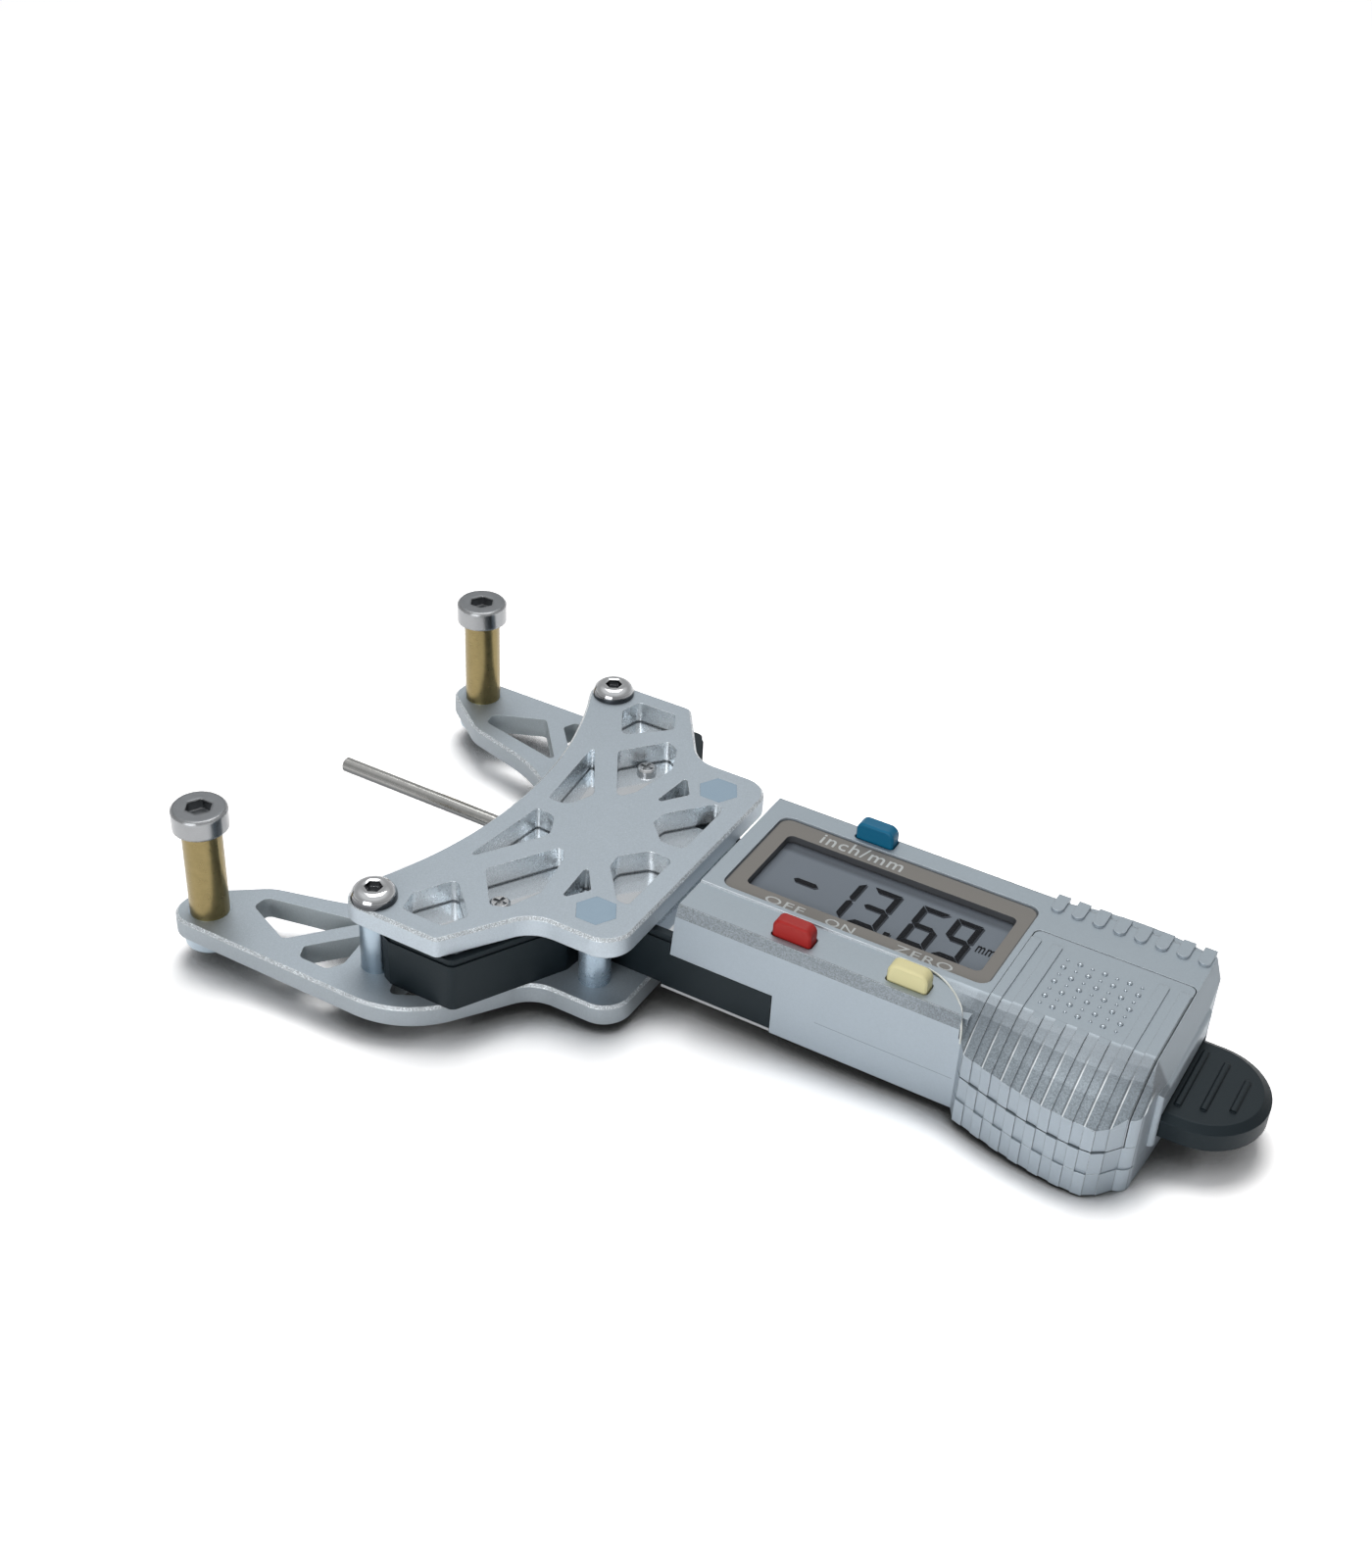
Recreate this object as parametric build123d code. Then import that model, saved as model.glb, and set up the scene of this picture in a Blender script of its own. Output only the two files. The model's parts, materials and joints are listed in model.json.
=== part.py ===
"""Digital belt tension gauge: a sliding probe with a readout, clamped between two milled plates.

Millimetres, +Z up. The work frame has its origin midway between the two posts, level with the black
stem's underside: +X runs from the probe to the thumb tab and +Y to the far side. Each sub-part is
written in the part's own frame, with its origin at the bottom centre of the whole gauge.
"""

from build123d import *
import math
import os

# Sizes that the plates share, spread from the posts and from the black stem
post_half = 30.0
stem_half = 11.2
deck = 0.3
plate_thick = 3.0
plate_gap = 7.4
plate_edge_break = 0.35
plate_rear = 53.2
rear_screw_x = 47.5
rear_screw_half = stem_half + 3.7
plate_rear_half = rear_screw_half + 4.7
rear_corner_round = 3.8
neck_round = 5.0
wing_slope_x = 4.7
wing_slope_y = 7.0
wing_at_x = 35.4
wing_at_y = post_half - 1.0
drawn_half = 30.0
spread = post_half / drawn_half

# Lower plate and its arms
arm_outer = post_half + 3.85
arm_tip = -4.1
arm_tip_inner = post_half - 1.8
arm_round = 13.0
throat_front = 27.0
throat_radius = post_half - 9.2
throat_end = 3.8
throat_flare = 15.0

# Top plate, its front screws set in from the ends of the concave front
top_half = post_half - 0.15
top_front_radius = 57.7
top_front_x = 27.0
top_front_straight = 6.0
top_corner_round = 2.8
top_wing_round = 1.0
front_screw_in = 4.85
front_screw_half = top_half - 2.7

# Posts
sleeve_outer = 5.0
sleeve_length = 13.0
post_thread = 4.0
post_head_dia = 7.0
post_head_height = 2.8
post_socket_flats = 3.0
post_socket_depth = 1.5
post_head_break = 0.3
post_screw_reach = 1.0
insert_flange_dia = 6.8
insert_flange = 1.4
insert_shank_dia = 5.4

# Standoffs and their screws
standoff_dia = 4.0
standoff_flats = 4.8
standoff_hex = 1.4
m3_thread = 3.0
button_head_dia = 5.7
button_head_height = 1.65
button_socket_flats = 2.0
button_socket_depth = 0.9
front_screw_length = 8.0
rear_head_dia = 5.5
thread_room = 0.1
hole_room = 0.2

# Black base
base_half = post_half - 0.7
base_wing_x = 36.6
base_wing_slope = 0.53
base_wing_end = 15.5
base_corner = (1.35, 0.65)
base_far_more = 0.7
lid_joint = 6.8
lid_inset = 0.2
base_top = 7.65
cover_thick = 0.5
cover_margin = 1.2
cover_screw_x = 35.3
cover_screw_half = base_half - 12.0
cover_head_dia = 2.6
cover_head = 0.75
cover_thread = 1.6
cover_reach = 3.5

# Probe, slide bar and tab
rod_dia = 2.0
rod_axis = 4.6
rod_tip = -1.6
rod_rear = 60.0
rod_tip_break = 0.12
rod_room = 0.3
bush_dia = 4.0
bush_length = 6.0
bush_room = 0.04
bar_half = 3.5
bar_low = 3.4
bar_high = 5.8
bar_front = 57.6
bar_rear = 112.0
bar_room = 0.06
strip_half = 3.1
strip_thick = 0.3
strip_rear = 100.0
neck_half = 4.6
neck_front = 105.0
tab_half = 7.75
tab_low = 4.2
tab_high = 7.1
tab_front = 113.6
tab_end = 126.05
tab_bevel = 1.0
tab_bevel_drop = 0.6
tab_ridge_at = (117.0, 119.7, 122.6)
tab_ridge_half = (5.1, 4.3, 2.8)
tab_ridge_width = 0.8
tab_ridge_height = 0.35
pin_x = 108.5
pin_dia = 1.4

# Display housing
house_front = 56.5
house_front_lean = 4.5
house_top = 13.2
house_far = 15.0
house_near = -11.4
house_bottom = -0.4
house_wall = 1.4
shoulder_edge = -5.7
shoulder_drop = 0.25
band_in = 0.5
band_low = 11.3
overhang = 5.3
step_x = 69.8
top_thick = 1.3
crease_end = 86.5
ridge_end = 93.0
far_edge_round = 0.6

# Grip
grip_front = 93.4
grip_rear = 115.2
slope_start = -6.0
slope_foot = 9.1
slope_power = 1.45
slope_steps = (0.2, 0.4, 0.7, 1.0)
slope_stations = (0.0, 2.6, 5.6, 9.6, 13.6, 16.6, 18.8)
row_height = 3.15
row_step = 0.2
column = 1.3
column_count = 15
swell_start = 1.2
swell_more = 3.7
swell_peak = 0.84
swell_return = 22.0
columns_from = 94.3
brick_depth = 0.13
pad_width = 1.5
pad_pitch = 2.6
pad_count = 8
pad_near = 12.0
pad_height = 0.35
rear_bevel = 1.1
rear_bevel_drop = 1.9
rear_round = 1.6
rear_bow = 0.6
near_corner = 2.2
far_bow = 1.1
lip_out = 0.9
lip_half = 8.6
lip_from = 3.0
lip_to = 10.6
lip_round = 0.7
slot_room = 0.25
slot_over = 0.45

# Battery door
door_front = 94.3
door_rear = 113.9
door_far = 7.8
door_thick = 1.3
door_room = 0.12
door_lip = 0.9
door_lip_thick = 0.5
rib_height = 0.22

# Window and display
window = (58.7, 93.4, -5.0, 11.7)
window_round = 1.5
glass = (61.0, 91.6, -2.8, 8.7)
glass_round = 0.8
bezel_sink = 0.3
bezel_depth = 1.35
bezel_flange = 0.6
lens_thick = 0.6
panel_thick = 1.6

# Buttons
button_half_x = 2.5
button_half_y = 1.0
button_rise = 2.3
button_end_round = 1.1
button_break = 0.25
button_room = 0.18
button_travel = 0.8
button_wing = 0.5
button_flange = 0.6
button_arm = 0.7
button_arm_half = 1.5
stem_dia = 1.6
unit_at = (70.7, 13.45)
power_at = (70.8, -8.85)
zero_at = (85.5, -8.85)
far_stem = 11.8
near_stem = -8.2
stem_end = 9.85

# Board, mat and battery
board_low = 6.4
board_thick = 1.0
board_rear = 92.6
mat_thick = 0.8
pad_half_x = 2.0
pad_half_y = 1.1
dome_dia = 1.8
strip_width = 1.0
tray_low = 7.35
tray_top = 7.95
pocket = (95.6, 112.7, -9.9, 7.3)
cell_x = 104.2
cell_y = -1.3
cell_dia = 11.6
cell_high = 3.05
cell_edge = 0.35
contact_thick = 0.2
cell_room = 0.3
ring_wall = 0.95
ring_high = 1.4
foot_half_x = 3.0
foot_half_y = 1.5
rim_half = 2.0
rim_high = 2.6

# Back plate and its screws
back_thick = 0.4
back_screw_at = ((77.0, 11.8), (77.0, -8.0), (110.2, 11.0), (110.2, -8.1))
boss_dia = 4.0
back_thread = 1.9
back_head_dia = 3.0
back_reach = 4.5

# The part's frame stands at the bottom centre of all this
under = deck - plate_thick
lowest = under - insert_flange
centre_x = (arm_tip + tab_end) / 2
shift = Vector(-centre_x, 0, -lowest)


def write(name, *solids):
    """Write one sub-part, a single solid or a group of separate ones, in the part's frame."""
    loose = []
    for shape in solids:
        loose += list(shape.solids())
    moved = [s.moved(Location(shift)) for s in loose]
    whole = moved[0] if len(moved) == 1 else Compound(children=moved)
    export_step(whole, f"parts/{name}.step")


def box(x0, x1, y0, y1, z0, z1):
    """A box between two corners."""
    centre = Location(((x0 + x1) / 2, (y0 + y1) / 2, (z0 + z1) / 2))
    return centre * Box(x1 - x0, y1 - y0, z1 - z0)


def rod(x, y, z0, z1, dia):
    """An upright cylinder."""
    return Location((x, y, (z0 + z1) / 2)) * Cylinder(dia / 2, z1 - z0)


def hexagon(x, y, z0, z1, flats, turn=0.0):
    """An upright hexagonal prism, its size across flats."""
    face = Location((x, y, z0)) * RegularPolygon(flats / 2, 6, major_radius=False, rotation=turn)
    return extrude(face, z1 - z0)


def rounded(corners):
    """A face bounded by straight runs with a round at each corner, given as (x, y, radius)."""
    edges = []
    starts = []
    ends = []
    count = len(corners)
    for i, (x, y, radius) in enumerate(corners):
        here = Vector(x, y)
        before = Vector(*corners[i - 1][:2])
        after = Vector(*corners[(i + 1) % count][:2])
        back = (before - here).normalized()
        ahead = (after - here).normalized()
        half = math.acos(max(-1.0, min(1.0, back.dot(ahead)))) / 2
        run = radius / math.tan(half) if radius else 0.0
        starts.append(here + back * run)
        ends.append(here + ahead * run)
        if radius:
            inward = (back + ahead).normalized()
            middle = here + inward * (radius / math.sin(half) - radius)
            edges.append((i, ThreePointArc(starts[i], middle, ends[i])))
    loop = []
    for i in range(count):
        loop += [edge for at, edge in edges if at == i]
        following = starts[(i + 1) % count]
        if (following - ends[i]).length > 1e-4:
            loop.append(Line(ends[i], following))
    return make_face(Wire([e for curve in loop for e in curve.edges()]))


def slab(corners, z0, z1):
    """A rounded outline made solid between two heights."""
    return extrude(Location((0, 0, z0)) * rounded(corners), z1 - z0)


def rectangle(x0, x1, y0, y1, radius):
    """The corners of a rounded rectangle."""
    return [(x0, y0, radius), (x1, y0, radius), (x1, y1, radius), (x0, y1, radius)]


def mirrored(corners):
    """The same outline on the other side of the centre line."""
    return [(x, -y, radius) for x, y, radius in reversed(corners)]


def both(half):
    """A whole outline from the corners of its far half, listed from the front to the rear."""
    near = [(x, -y, radius) for x, y, radius in reversed(half) if y]
    return half + near


def broken(solid, size):
    """Break the sharp edges round the flat top and bottom of a plate."""
    faces = solid.faces().sort_by(Axis.Z)
    return chamfer(list(faces[0].edges()) + list(faces[-1].edges()), size)


def wing_x(y):
    """Where the oblique edge that plates and base share lies, at a distance from the centre line."""
    return wing_at_x + (wing_at_y - y) * wing_slope_x / wing_slope_y


def rear_corners():
    """The oblique edge's foot, the neck and the rear corner, alike in both plates."""
    return [
        (wing_x(plate_rear_half), plate_rear_half, neck_round),
        (plate_rear, plate_rear_half, rear_corner_round),
    ]


def lattice(cuts, stretch, z0, z1):
    """The cut-outs of one plate, on both sides of the centre line, stretched across the gauge."""
    shapes = []
    for drawn in cuts:
        corners = [(x, y * stretch, radius) for x, y, radius in drawn]
        shapes.append(slab(corners, z0, z1))
        shapes.append(slab(mirrored(corners), z0, z1))
    return shapes


# Top plate

top_low = deck + plate_gap
top_high = top_low + plate_thick
top_middle = math.asin((top_half - top_front_straight) / top_front_radius)
top_apex = top_front_x - top_front_radius + top_front_radius / math.cos(top_middle)
top_corner_x = top_apex - math.tan(top_middle) * top_half
front_screw_x = top_corner_x + front_screw_in

top_front_cuts = [
    [(30.3, 19.0, 0.8), (35.5, 24.0, 0.7), (33.9, 27.2, 0.8), (28.1, 27.2, 0.8), (27.3, 24.0, 0.9)],
    [(37.3, 6.3, 0.7), (38.8, 8.6, 1.2), (40.1, 15.6, 1.5), (38.3, 20.1, 1.0), (36.4, 21.0, 0.8),
     (31.9, 15.4, 0.8)],
    [(28.55, 15.0, 0.35), (30.1, 1.3, 0.5), (32.9, 1.4, 2.0), (34.6, 5.2, 1.6)],
]
top_rear_cuts = [
    [(41.9, 7.8, 0.35), (44.9, 11.9, 0.5), (42.6, 15.2, 0.35)],
    [(50.15, 1.3, 1.0), (46.9, 1.2, 1.5), (44.0, 4.3, 1.4), (44.3, 6.6, 1.5), (48.6, 11.9, 0.8),
     (50.15, 11.9, 0.5)],
]


def top_plate():
    """The upper plate with its concave front, lattice and screw holes."""
    half = [
        (top_apex, 0.0, top_front_radius),
        (top_corner_x, top_half, top_corner_round),
        (wing_x(top_half), top_half, top_wing_round),
    ] + rear_corners()
    plate = broken(slab(both(half), top_low, top_high), plate_edge_break)
    cuts = lattice(top_front_cuts, spread, top_low, top_high)
    for cut in cuts + lattice(top_rear_cuts, 1.0, top_low, top_high):
        plate -= cut
    for side in (-1, 1):
        plate -= rod(front_screw_x, side * front_screw_half, top_low, top_high, m3_thread + hole_room)
        plate -= rod(rear_screw_x, side * rear_screw_half, top_low, top_high, standoff_dia)
        plate -= hexagon(rear_screw_x, side * rear_screw_half, top_high - standoff_hex, top_high,
                         standoff_flats)
    return plate


# Lower plate

arm_cuts = [
    [(4.4, 24.4, 1.0), (18.1, 21.5, 0.5), (11.3, 29.7, 0.8), (4.2, 26.6, 1.0)],
    [(19.6, 23.3, 0.5), (20.5, 29.3, 0.8), (19.4, 31.3, 1.0), (15.2, 31.3, 0.8), (14.4, 29.4, 0.6)],
    [(30.3, 19.2, 0.8), (34.6, 24.6, 0.8), (33.6, 28.2, 0.8), (28.4, 31.0, 0.8), (27.5, 28.6, 0.9)],
]


def lower_plate():
    """The lower plate with its two arms, round throat and screw holes."""
    flare = math.radians(throat_flare)
    corner_y = throat_radius * math.tan((math.pi / 2 - flare) / 2)
    end_y = corner_y + (throat_front - throat_end) * math.tan(flare)
    half = [
        (throat_front, corner_y, throat_radius - 0.05),
        (throat_end, end_y, 6.0),
        (arm_tip, arm_tip_inner, 3.0),
        (arm_tip, arm_outer, 3.3),
        (wing_x(arm_outer), arm_outer, arm_round),
    ] + rear_corners()
    plate = broken(slab(both(half), under, deck), plate_edge_break)
    for cut in lattice(arm_cuts, spread, under, deck):
        plate -= cut
    for side in (-1, 1):
        plate -= rod(0, side * post_half, under, deck, insert_shank_dia)
        plate -= rod(front_screw_x, side * front_screw_half, under, deck, standoff_dia)
        plate -= hexagon(front_screw_x, side * front_screw_half, under, under + standoff_hex,
                         standoff_flats)
        plate -= rod(rear_screw_x, side * rear_screw_half, under, deck, m3_thread + hole_room)
    return plate


# Posts

post_top = deck + sleeve_length


def post_sleeve(side):
    """The brass tube that the belt runs round."""
    tube = rod(0, side * post_half, deck, post_top, sleeve_outer)
    return tube - rod(0, side * post_half, deck, post_top, post_thread + thread_room)


def post_insert(side):
    """A flanged threaded insert, pressed in from below."""
    shank = rod(0, side * post_half, under, deck, insert_shank_dia)
    flange = rod(0, side * post_half, lowest, under, insert_flange_dia)
    return shank + flange - rod(0, side * post_half, lowest, deck, post_thread)


def post_screw(side):
    """The low-head screw with a hex socket that clamps a sleeve to its insert."""
    y = side * post_half
    top = post_top + post_head_height
    head = rod(0, y, post_top, top, post_head_dia)
    head = chamfer(head.edges().group_by(Axis.Z)[-1], post_head_break)
    shank = rod(0, y, under - post_screw_reach, post_top, post_thread - thread_room)
    return head + shank - hexagon(0, y, top - post_socket_depth, top, post_socket_flats)


# Standoffs and the screws in them


def front_standoff(side):
    """A clinched standoff, its hex flush under the lower plate."""
    y = side * front_screw_half
    shape = hexagon(front_screw_x, y, under, under + standoff_hex, standoff_flats)
    shape += rod(front_screw_x, y, under + standoff_hex, top_low, standoff_dia)
    return shape - rod(front_screw_x, y, deck + 1.0, top_low, m3_thread)


def rear_standoff(side):
    """A clinched standoff, its hex flush in the top plate."""
    y = side * rear_screw_half
    shape = hexagon(rear_screw_x, y, top_high - standoff_hex, top_high, standoff_flats)
    shape += rod(rear_screw_x, y, deck, top_high - standoff_hex, standoff_dia)
    return shape - rod(rear_screw_x, y, deck, top_low - 1.0, m3_thread)


def front_screw(side):
    """A button-head screw with a hex socket, its dome turned in three cones."""
    y = side * front_screw_half
    radius = button_head_dia / 2
    rise = button_head_height
    profile = Polyline((0, 0, rise), (0, 0, 0), (radius, 0, 0), (radius, 0, 0.15 * rise),
                       (0.93 * radius, 0, 0.52 * rise), (0.74 * radius, 0, 0.84 * rise),
                       (0.5 * radius, 0, rise), close=True)
    head = Location((front_screw_x, y, top_high)) * revolve(make_face(profile), Axis.Z)
    shank = rod(front_screw_x, y, top_high - front_screw_length, top_high, m3_thread - thread_room)
    socket = hexagon(front_screw_x, y, top_high + rise - button_socket_depth, top_high + rise,
                     button_socket_flats)
    return head + shank - socket


def rear_screw(side):
    """A low-head screw that comes up from below."""
    y = side * rear_screw_half
    head = rod(rear_screw_x, y, lowest, under, rear_head_dia)
    shank = rod(rear_screw_x, y, under, under + front_screw_length, m3_thread - thread_room)
    return head + shank - hexagon(rear_screw_x, y, lowest, lowest + button_socket_depth,
                                  button_socket_flats)


# Black base


base_front = front_screw_x + standoff_dia / 2 + 0.15


def base_wing(y):
    """Where the base's own oblique edge lies, at a distance from the centre line."""
    return base_wing_x + (base_half - y) * base_wing_slope


def tee_corners(inset, rear, more):
    """Half of the T: crossbar with its broken front corner, oblique wing and stem."""
    lean = inset * math.hypot(1, base_wing_slope) - more
    half = base_half - inset
    cut_x, cut_y = base_corner
    end = base_wing_end - inset
    return [
        (base_front + inset, half - cut_y, 0.0),
        (base_front + inset + cut_x, half, 0.0),
        (base_wing(half) - lean, half, 1.2),
        (base_wing(end) - lean, end, 1.2),
        (base_wing(end) - lean + 0.4, stem_half - inset, 1.2),
        (rear, stem_half - inset, 0.0),
    ]


def tee(inset, rear, z0, z1):
    """A layer of the T, whose far wing stands out a little more than the near one."""
    far = tee_corners(inset, rear, base_far_more)
    return slab(far + mirrored(tee_corners(inset, rear, 0.0)), z0, z1)


inner_near = house_near + house_wall + 0.1
inner_far = house_far - house_wall - 0.1
inner_rear = grip_rear - 1.9
front_gap = 0.15
stem_rear = house_front - 0.75
channel_half = 5.6
channel_rear = 103.0
channel_top = 6.4
floor_top = 1.2
narrow_half = 9.6


def base_body():
    """Crossbar and stem, and the tray that carries the slide bar under the housing."""
    body = tee(0, stem_rear, deck, lid_joint)
    body += box(stem_rear - 1, step_x - front_gap, -stem_half, stem_half, 0, overhang - 0.1)
    body += box(stem_rear - 1, step_x + 2, -narrow_half, narrow_half, 0, overhang - 0.1)
    body += box(step_x + house_wall + 0.1, inner_rear, inner_near, inner_far, 0, floor_top)
    body += box(stem_rear - 1, channel_rear, -channel_half, channel_half, 0, channel_top)
    body -= box(bar_front - 1.2, channel_rear, -bar_half - bar_room, bar_half + bar_room,
                bar_low - bar_room, channel_top)
    body += box(channel_rear - 1, inner_rear, -bar_half, bar_half, floor_top - 0.2,
                bar_low - bar_room - 0.1)
    bore = Location(((base_front + bar_front) / 2, 0, rod_axis), (0, 90, 0))
    body -= bore * Cylinder(rod_dia / 2 + rod_room, bar_front - base_front)
    seat = Location((base_front + bush_length / 2, 0, rod_axis), (0, 90, 0))
    body -= seat * Cylinder(bush_dia / 2, bush_length)
    for side in (-1, 1):
        body -= rod(cover_screw_x, side * cover_screw_half, lid_joint - cover_reach - 0.5, lid_joint,
                    cover_thread + thread_room)
    for x, y in back_screw_at:
        body -= rod(x, y, 0, floor_top, back_thread + hole_room)
    return body


def base_lid():
    """The lid of the T, set in all round, with a recess for the polished cover."""
    lid = tee(lid_inset, stem_rear, lid_joint, base_top)
    lid -= tee(cover_margin, stem_rear, base_top - cover_thick, base_top)
    for side in (-1, 1):
        lid -= rod(cover_screw_x, side * cover_screw_half, lid_joint, base_top,
                   cover_thread + hole_room)
    return lid


def base_cover():
    """The polished sheet let into the lid."""
    cover = tee(cover_margin + 0.05, stem_rear - 0.05, base_top - cover_thick, base_top)
    for side in (-1, 1):
        cover -= rod(cover_screw_x, side * cover_screw_half, base_top - cover_thick, base_top,
                     cover_thread + hole_room)
    return cover


def cross_recess(x, y, z0, z1, span):
    """The cross in a screw head."""
    arm = span / 4
    first = box(x - span / 2, x + span / 2, y - arm / 2, y + arm / 2, z0, z1)
    return first + box(x - arm / 2, x + arm / 2, y - span / 2, y + span / 2, z0, z1)


def cover_screw(side):
    """A small pan-head screw with a cross recess that holds cover and lid."""
    y = side * cover_screw_half
    top = base_top + cover_head
    head = rod(cover_screw_x, y, base_top, top, cover_head_dia)
    head = chamfer(head.edges().group_by(Axis.Z)[-1], cover_head / 3)
    shank = rod(cover_screw_x, y, lid_joint - cover_reach, base_top, cover_thread)
    return head + shank - cross_recess(cover_screw_x, y, top - cover_head / 2, top, 0.7 * cover_head_dia)


# Probe, bar and tab


def lying_rod(x0, x1, dia):
    """A cylinder along the probe's axis."""
    return Location(((x0 + x1) / 2, 0, rod_axis), (0, 90, 0)) * Cylinder(dia / 2, x1 - x0)


def probe_rod():
    """The steel probe, its tip lightly broken."""
    shape = lying_rod(rod_tip, rod_rear, rod_dia)
    return chamfer(shape.edges().group_by(Axis.X)[0], rod_tip_break)


def probe_bush():
    """The plain bush that guides the rod in the crossbar."""
    bush = lying_rod(base_front, base_front + bush_length, bush_dia)
    return bush - lying_rod(base_front, base_front + bush_length, rod_dia + 2 * bush_room)


def slide_bar():
    """The flat bar behind the rod, with a shallow seat for the scale strip."""
    bar = box(bar_front, bar_rear, -bar_half, bar_half, bar_low, bar_high)
    bar -= lying_rod(bar_front, rod_rear, rod_dia)
    return bar - rod(pin_x, 0, bar_low, bar_high, pin_dia)


def scale_strip():
    """The thin printed scale on the bar."""
    return box(bar_front + 3, strip_rear, -strip_half, strip_half, bar_high, bar_high + strip_thick)


def tab_outline(inset, front):
    """The tab seen from above: straight sides and a half-round end."""
    half = tab_half - inset
    end = tab_end - inset
    start = Line((front, -half), (end - half, -half))
    nose = ThreePointArc((end - half, -half), (end, 0), (end - half, half))
    rest = Polyline((end - half, half), (front, half), (front, -half))
    return make_face(Wire(start.edges() + nose.edges() + rest.edges()))


def thumb_tab():
    """The black tab, with its bevelled rim, three ridges and the neck over the bar."""
    upright = tab_high - tab_low - tab_bevel_drop
    tab = extrude(Location((0, 0, tab_low)) * tab_outline(0, tab_front), upright)
    lower = Location((0, 0, tab_high - tab_bevel_drop)) * tab_outline(0, tab_front)
    upper = Location((0, 0, tab_high)) * tab_outline(tab_bevel, tab_front)
    tab += loft([lower, upper])
    for x, half in zip(tab_ridge_at, tab_ridge_half):
        ridge = box(x - tab_ridge_width / 2, x + tab_ridge_width / 2, -half, half, tab_high,
                    tab_high + tab_ridge_height)
        long_edges = ridge.edges().group_by(Axis.Z)[-1].filter_by(Axis.Y)
        tab += fillet(long_edges, tab_ridge_height * 0.8)
    tab += box(neck_front, tab_front, -neck_half, neck_half, bar_low, tab_high)
    tab -= box(neck_front, bar_rear + 0.05, -bar_half, bar_half, bar_low, bar_high)
    return tab - rod(pin_x, 0, bar_high, tab_high, pin_dia)


def tab_pin():
    """The pin that joins tab and bar."""
    return rod(pin_x, 0, bar_low, tab_high, pin_dia)


# Housing forms

panel_top = house_top - bezel_sink - bezel_depth - 0.05
panel_low = panel_top - panel_thick
board_top = board_low + board_thick
cavity_near = house_near + house_wall
cavity_far = house_far - house_wall
cavity_rear = grip_rear - house_wall
cavity_top = house_top - top_thick
ledge_top = 6.3
row_low = [house_bottom + row * row_height for row in range(3)]
columns_to = columns_from + column * column_count
ridge_wall_from = 88.9
lip_low = house_top - door_thick - door_lip_thick - 0.05
boss_tops = (panel_top - 0.1, cavity_top, tray_top, tray_low - 0.1)
lean_foot = house_front - (house_top - overhang) * math.tan(math.radians(house_front_lean))


def wall_line(x, row):
    """How far out the grip's near wall stands at x, in a row counted from the bottom."""
    along = min(1.0, max(0.0, (x - grip_front) / (columns_to - grip_front)))
    swell = swell_start + swell_more * math.sin(min(1.0, along / swell_peak) * math.pi / 2)
    return_curve = swell_return * max(0.0, along - swell_peak) ** 2
    return house_near - swell * (1 - return_curve) + row * row_step


def grip_plan(row, inset, bricks):
    """The plan of the grip in one row: a stepped near wall, a bowed rear and a straight far side."""
    wall = [(columns_from, wall_line(columns_from, row) + inset)]
    for k in range(column_count):
        proud = brick_depth if bricks and (k + row) % 2 == 0 else 0.0
        ends = (columns_from + k * column, columns_from + (k + 1) * column)
        here = [(x, wall_line(x, row) - proud + inset) for x in ends]
        wall += here if bricks and math.dist(here[0], wall[-1]) > 0.01 else here[1:]
    last = wall[-1]
    corner = (grip_rear, last[1] + near_corner)
    far = (grip_rear, house_far - inset - rear_round)
    shoulder = (grip_rear - rear_round, house_far - inset)
    start = (grip_front, house_far - inset)
    edges = Polyline(start, (grip_front, house_near + inset), *wall).edges()
    turn = (grip_rear - 0.16 * near_corner, last[1] + 0.27 * near_corner)
    edges += ThreePointArc(last, turn, corner).edges()
    edges += ThreePointArc(corner, (grip_rear + rear_bow, 0.0), far).edges()
    edges += Polyline(far, shoulder, start).edges()
    return make_face(Wire(edges))


def slope_section(x, inset):
    """The space over the slope at one place along the grip, as a face across it."""
    depth = min(1.0, max(0.0, (x - crease_end) / (grip_front - crease_end)))
    foot_y = wall_line(x, 2) + inset
    high = house_top - inset
    fall = (house_top - slope_foot - 0.25 * inset) * depth
    start = slope_start + 0.2 * inset
    run = start - foot_y
    points = [(start, high)]
    for part in slope_steps:
        points.append((start - part * run, high - fall * part ** slope_power))
    points += [
        (foot_y - 6.0, high - fall - 3.5 * depth),
        (foot_y - 6.0, high + 3.0),
        (start, high + 3.0),
    ]
    return make_face(Polyline(*[(x, y, z) for y, z in points], close=True))


def slope_space(inset, front):
    """Everything above the slope that runs down to the near wall, from a place along the grip."""
    stations = [front] + [grip_front + step for step in slope_stations if grip_front + step > front]
    return loft([slope_section(x, inset) for x in stations + [grip_rear + 1.5]], ruled=True)


def grip_block(inset, bricks=False):
    """The grip as one solid of three stepped rows, or its inner form when inset."""
    tops = row_low[1:] + [house_top - inset]
    block = None
    for row, (low, high) in enumerate(zip(row_low, tops)):
        layer = extrude(Location((0, 0, low)) * grip_plan(row, inset, bricks), high - low)
        block = layer if block is None else block + layer
    return block - slope_space(inset, grip_front - 0.5)


def along_x(points, x0, x1):
    """A section given as (y, z) points, drawn out along the gauge."""
    face = make_face(Polyline(*[(x0, y, z) for y, z in points], close=True))
    return extrude(face, x1 - x0, dir=(1, 0, 0))


def along_y(points, y0, y1):
    """A side view given as (x, z) points, drawn out across the gauge."""
    face = make_face(Polyline(*[(x, y0, z) for x, z in points], close=True))
    return extrude(face, y1 - y0, dir=(0, 1, 0))


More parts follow.
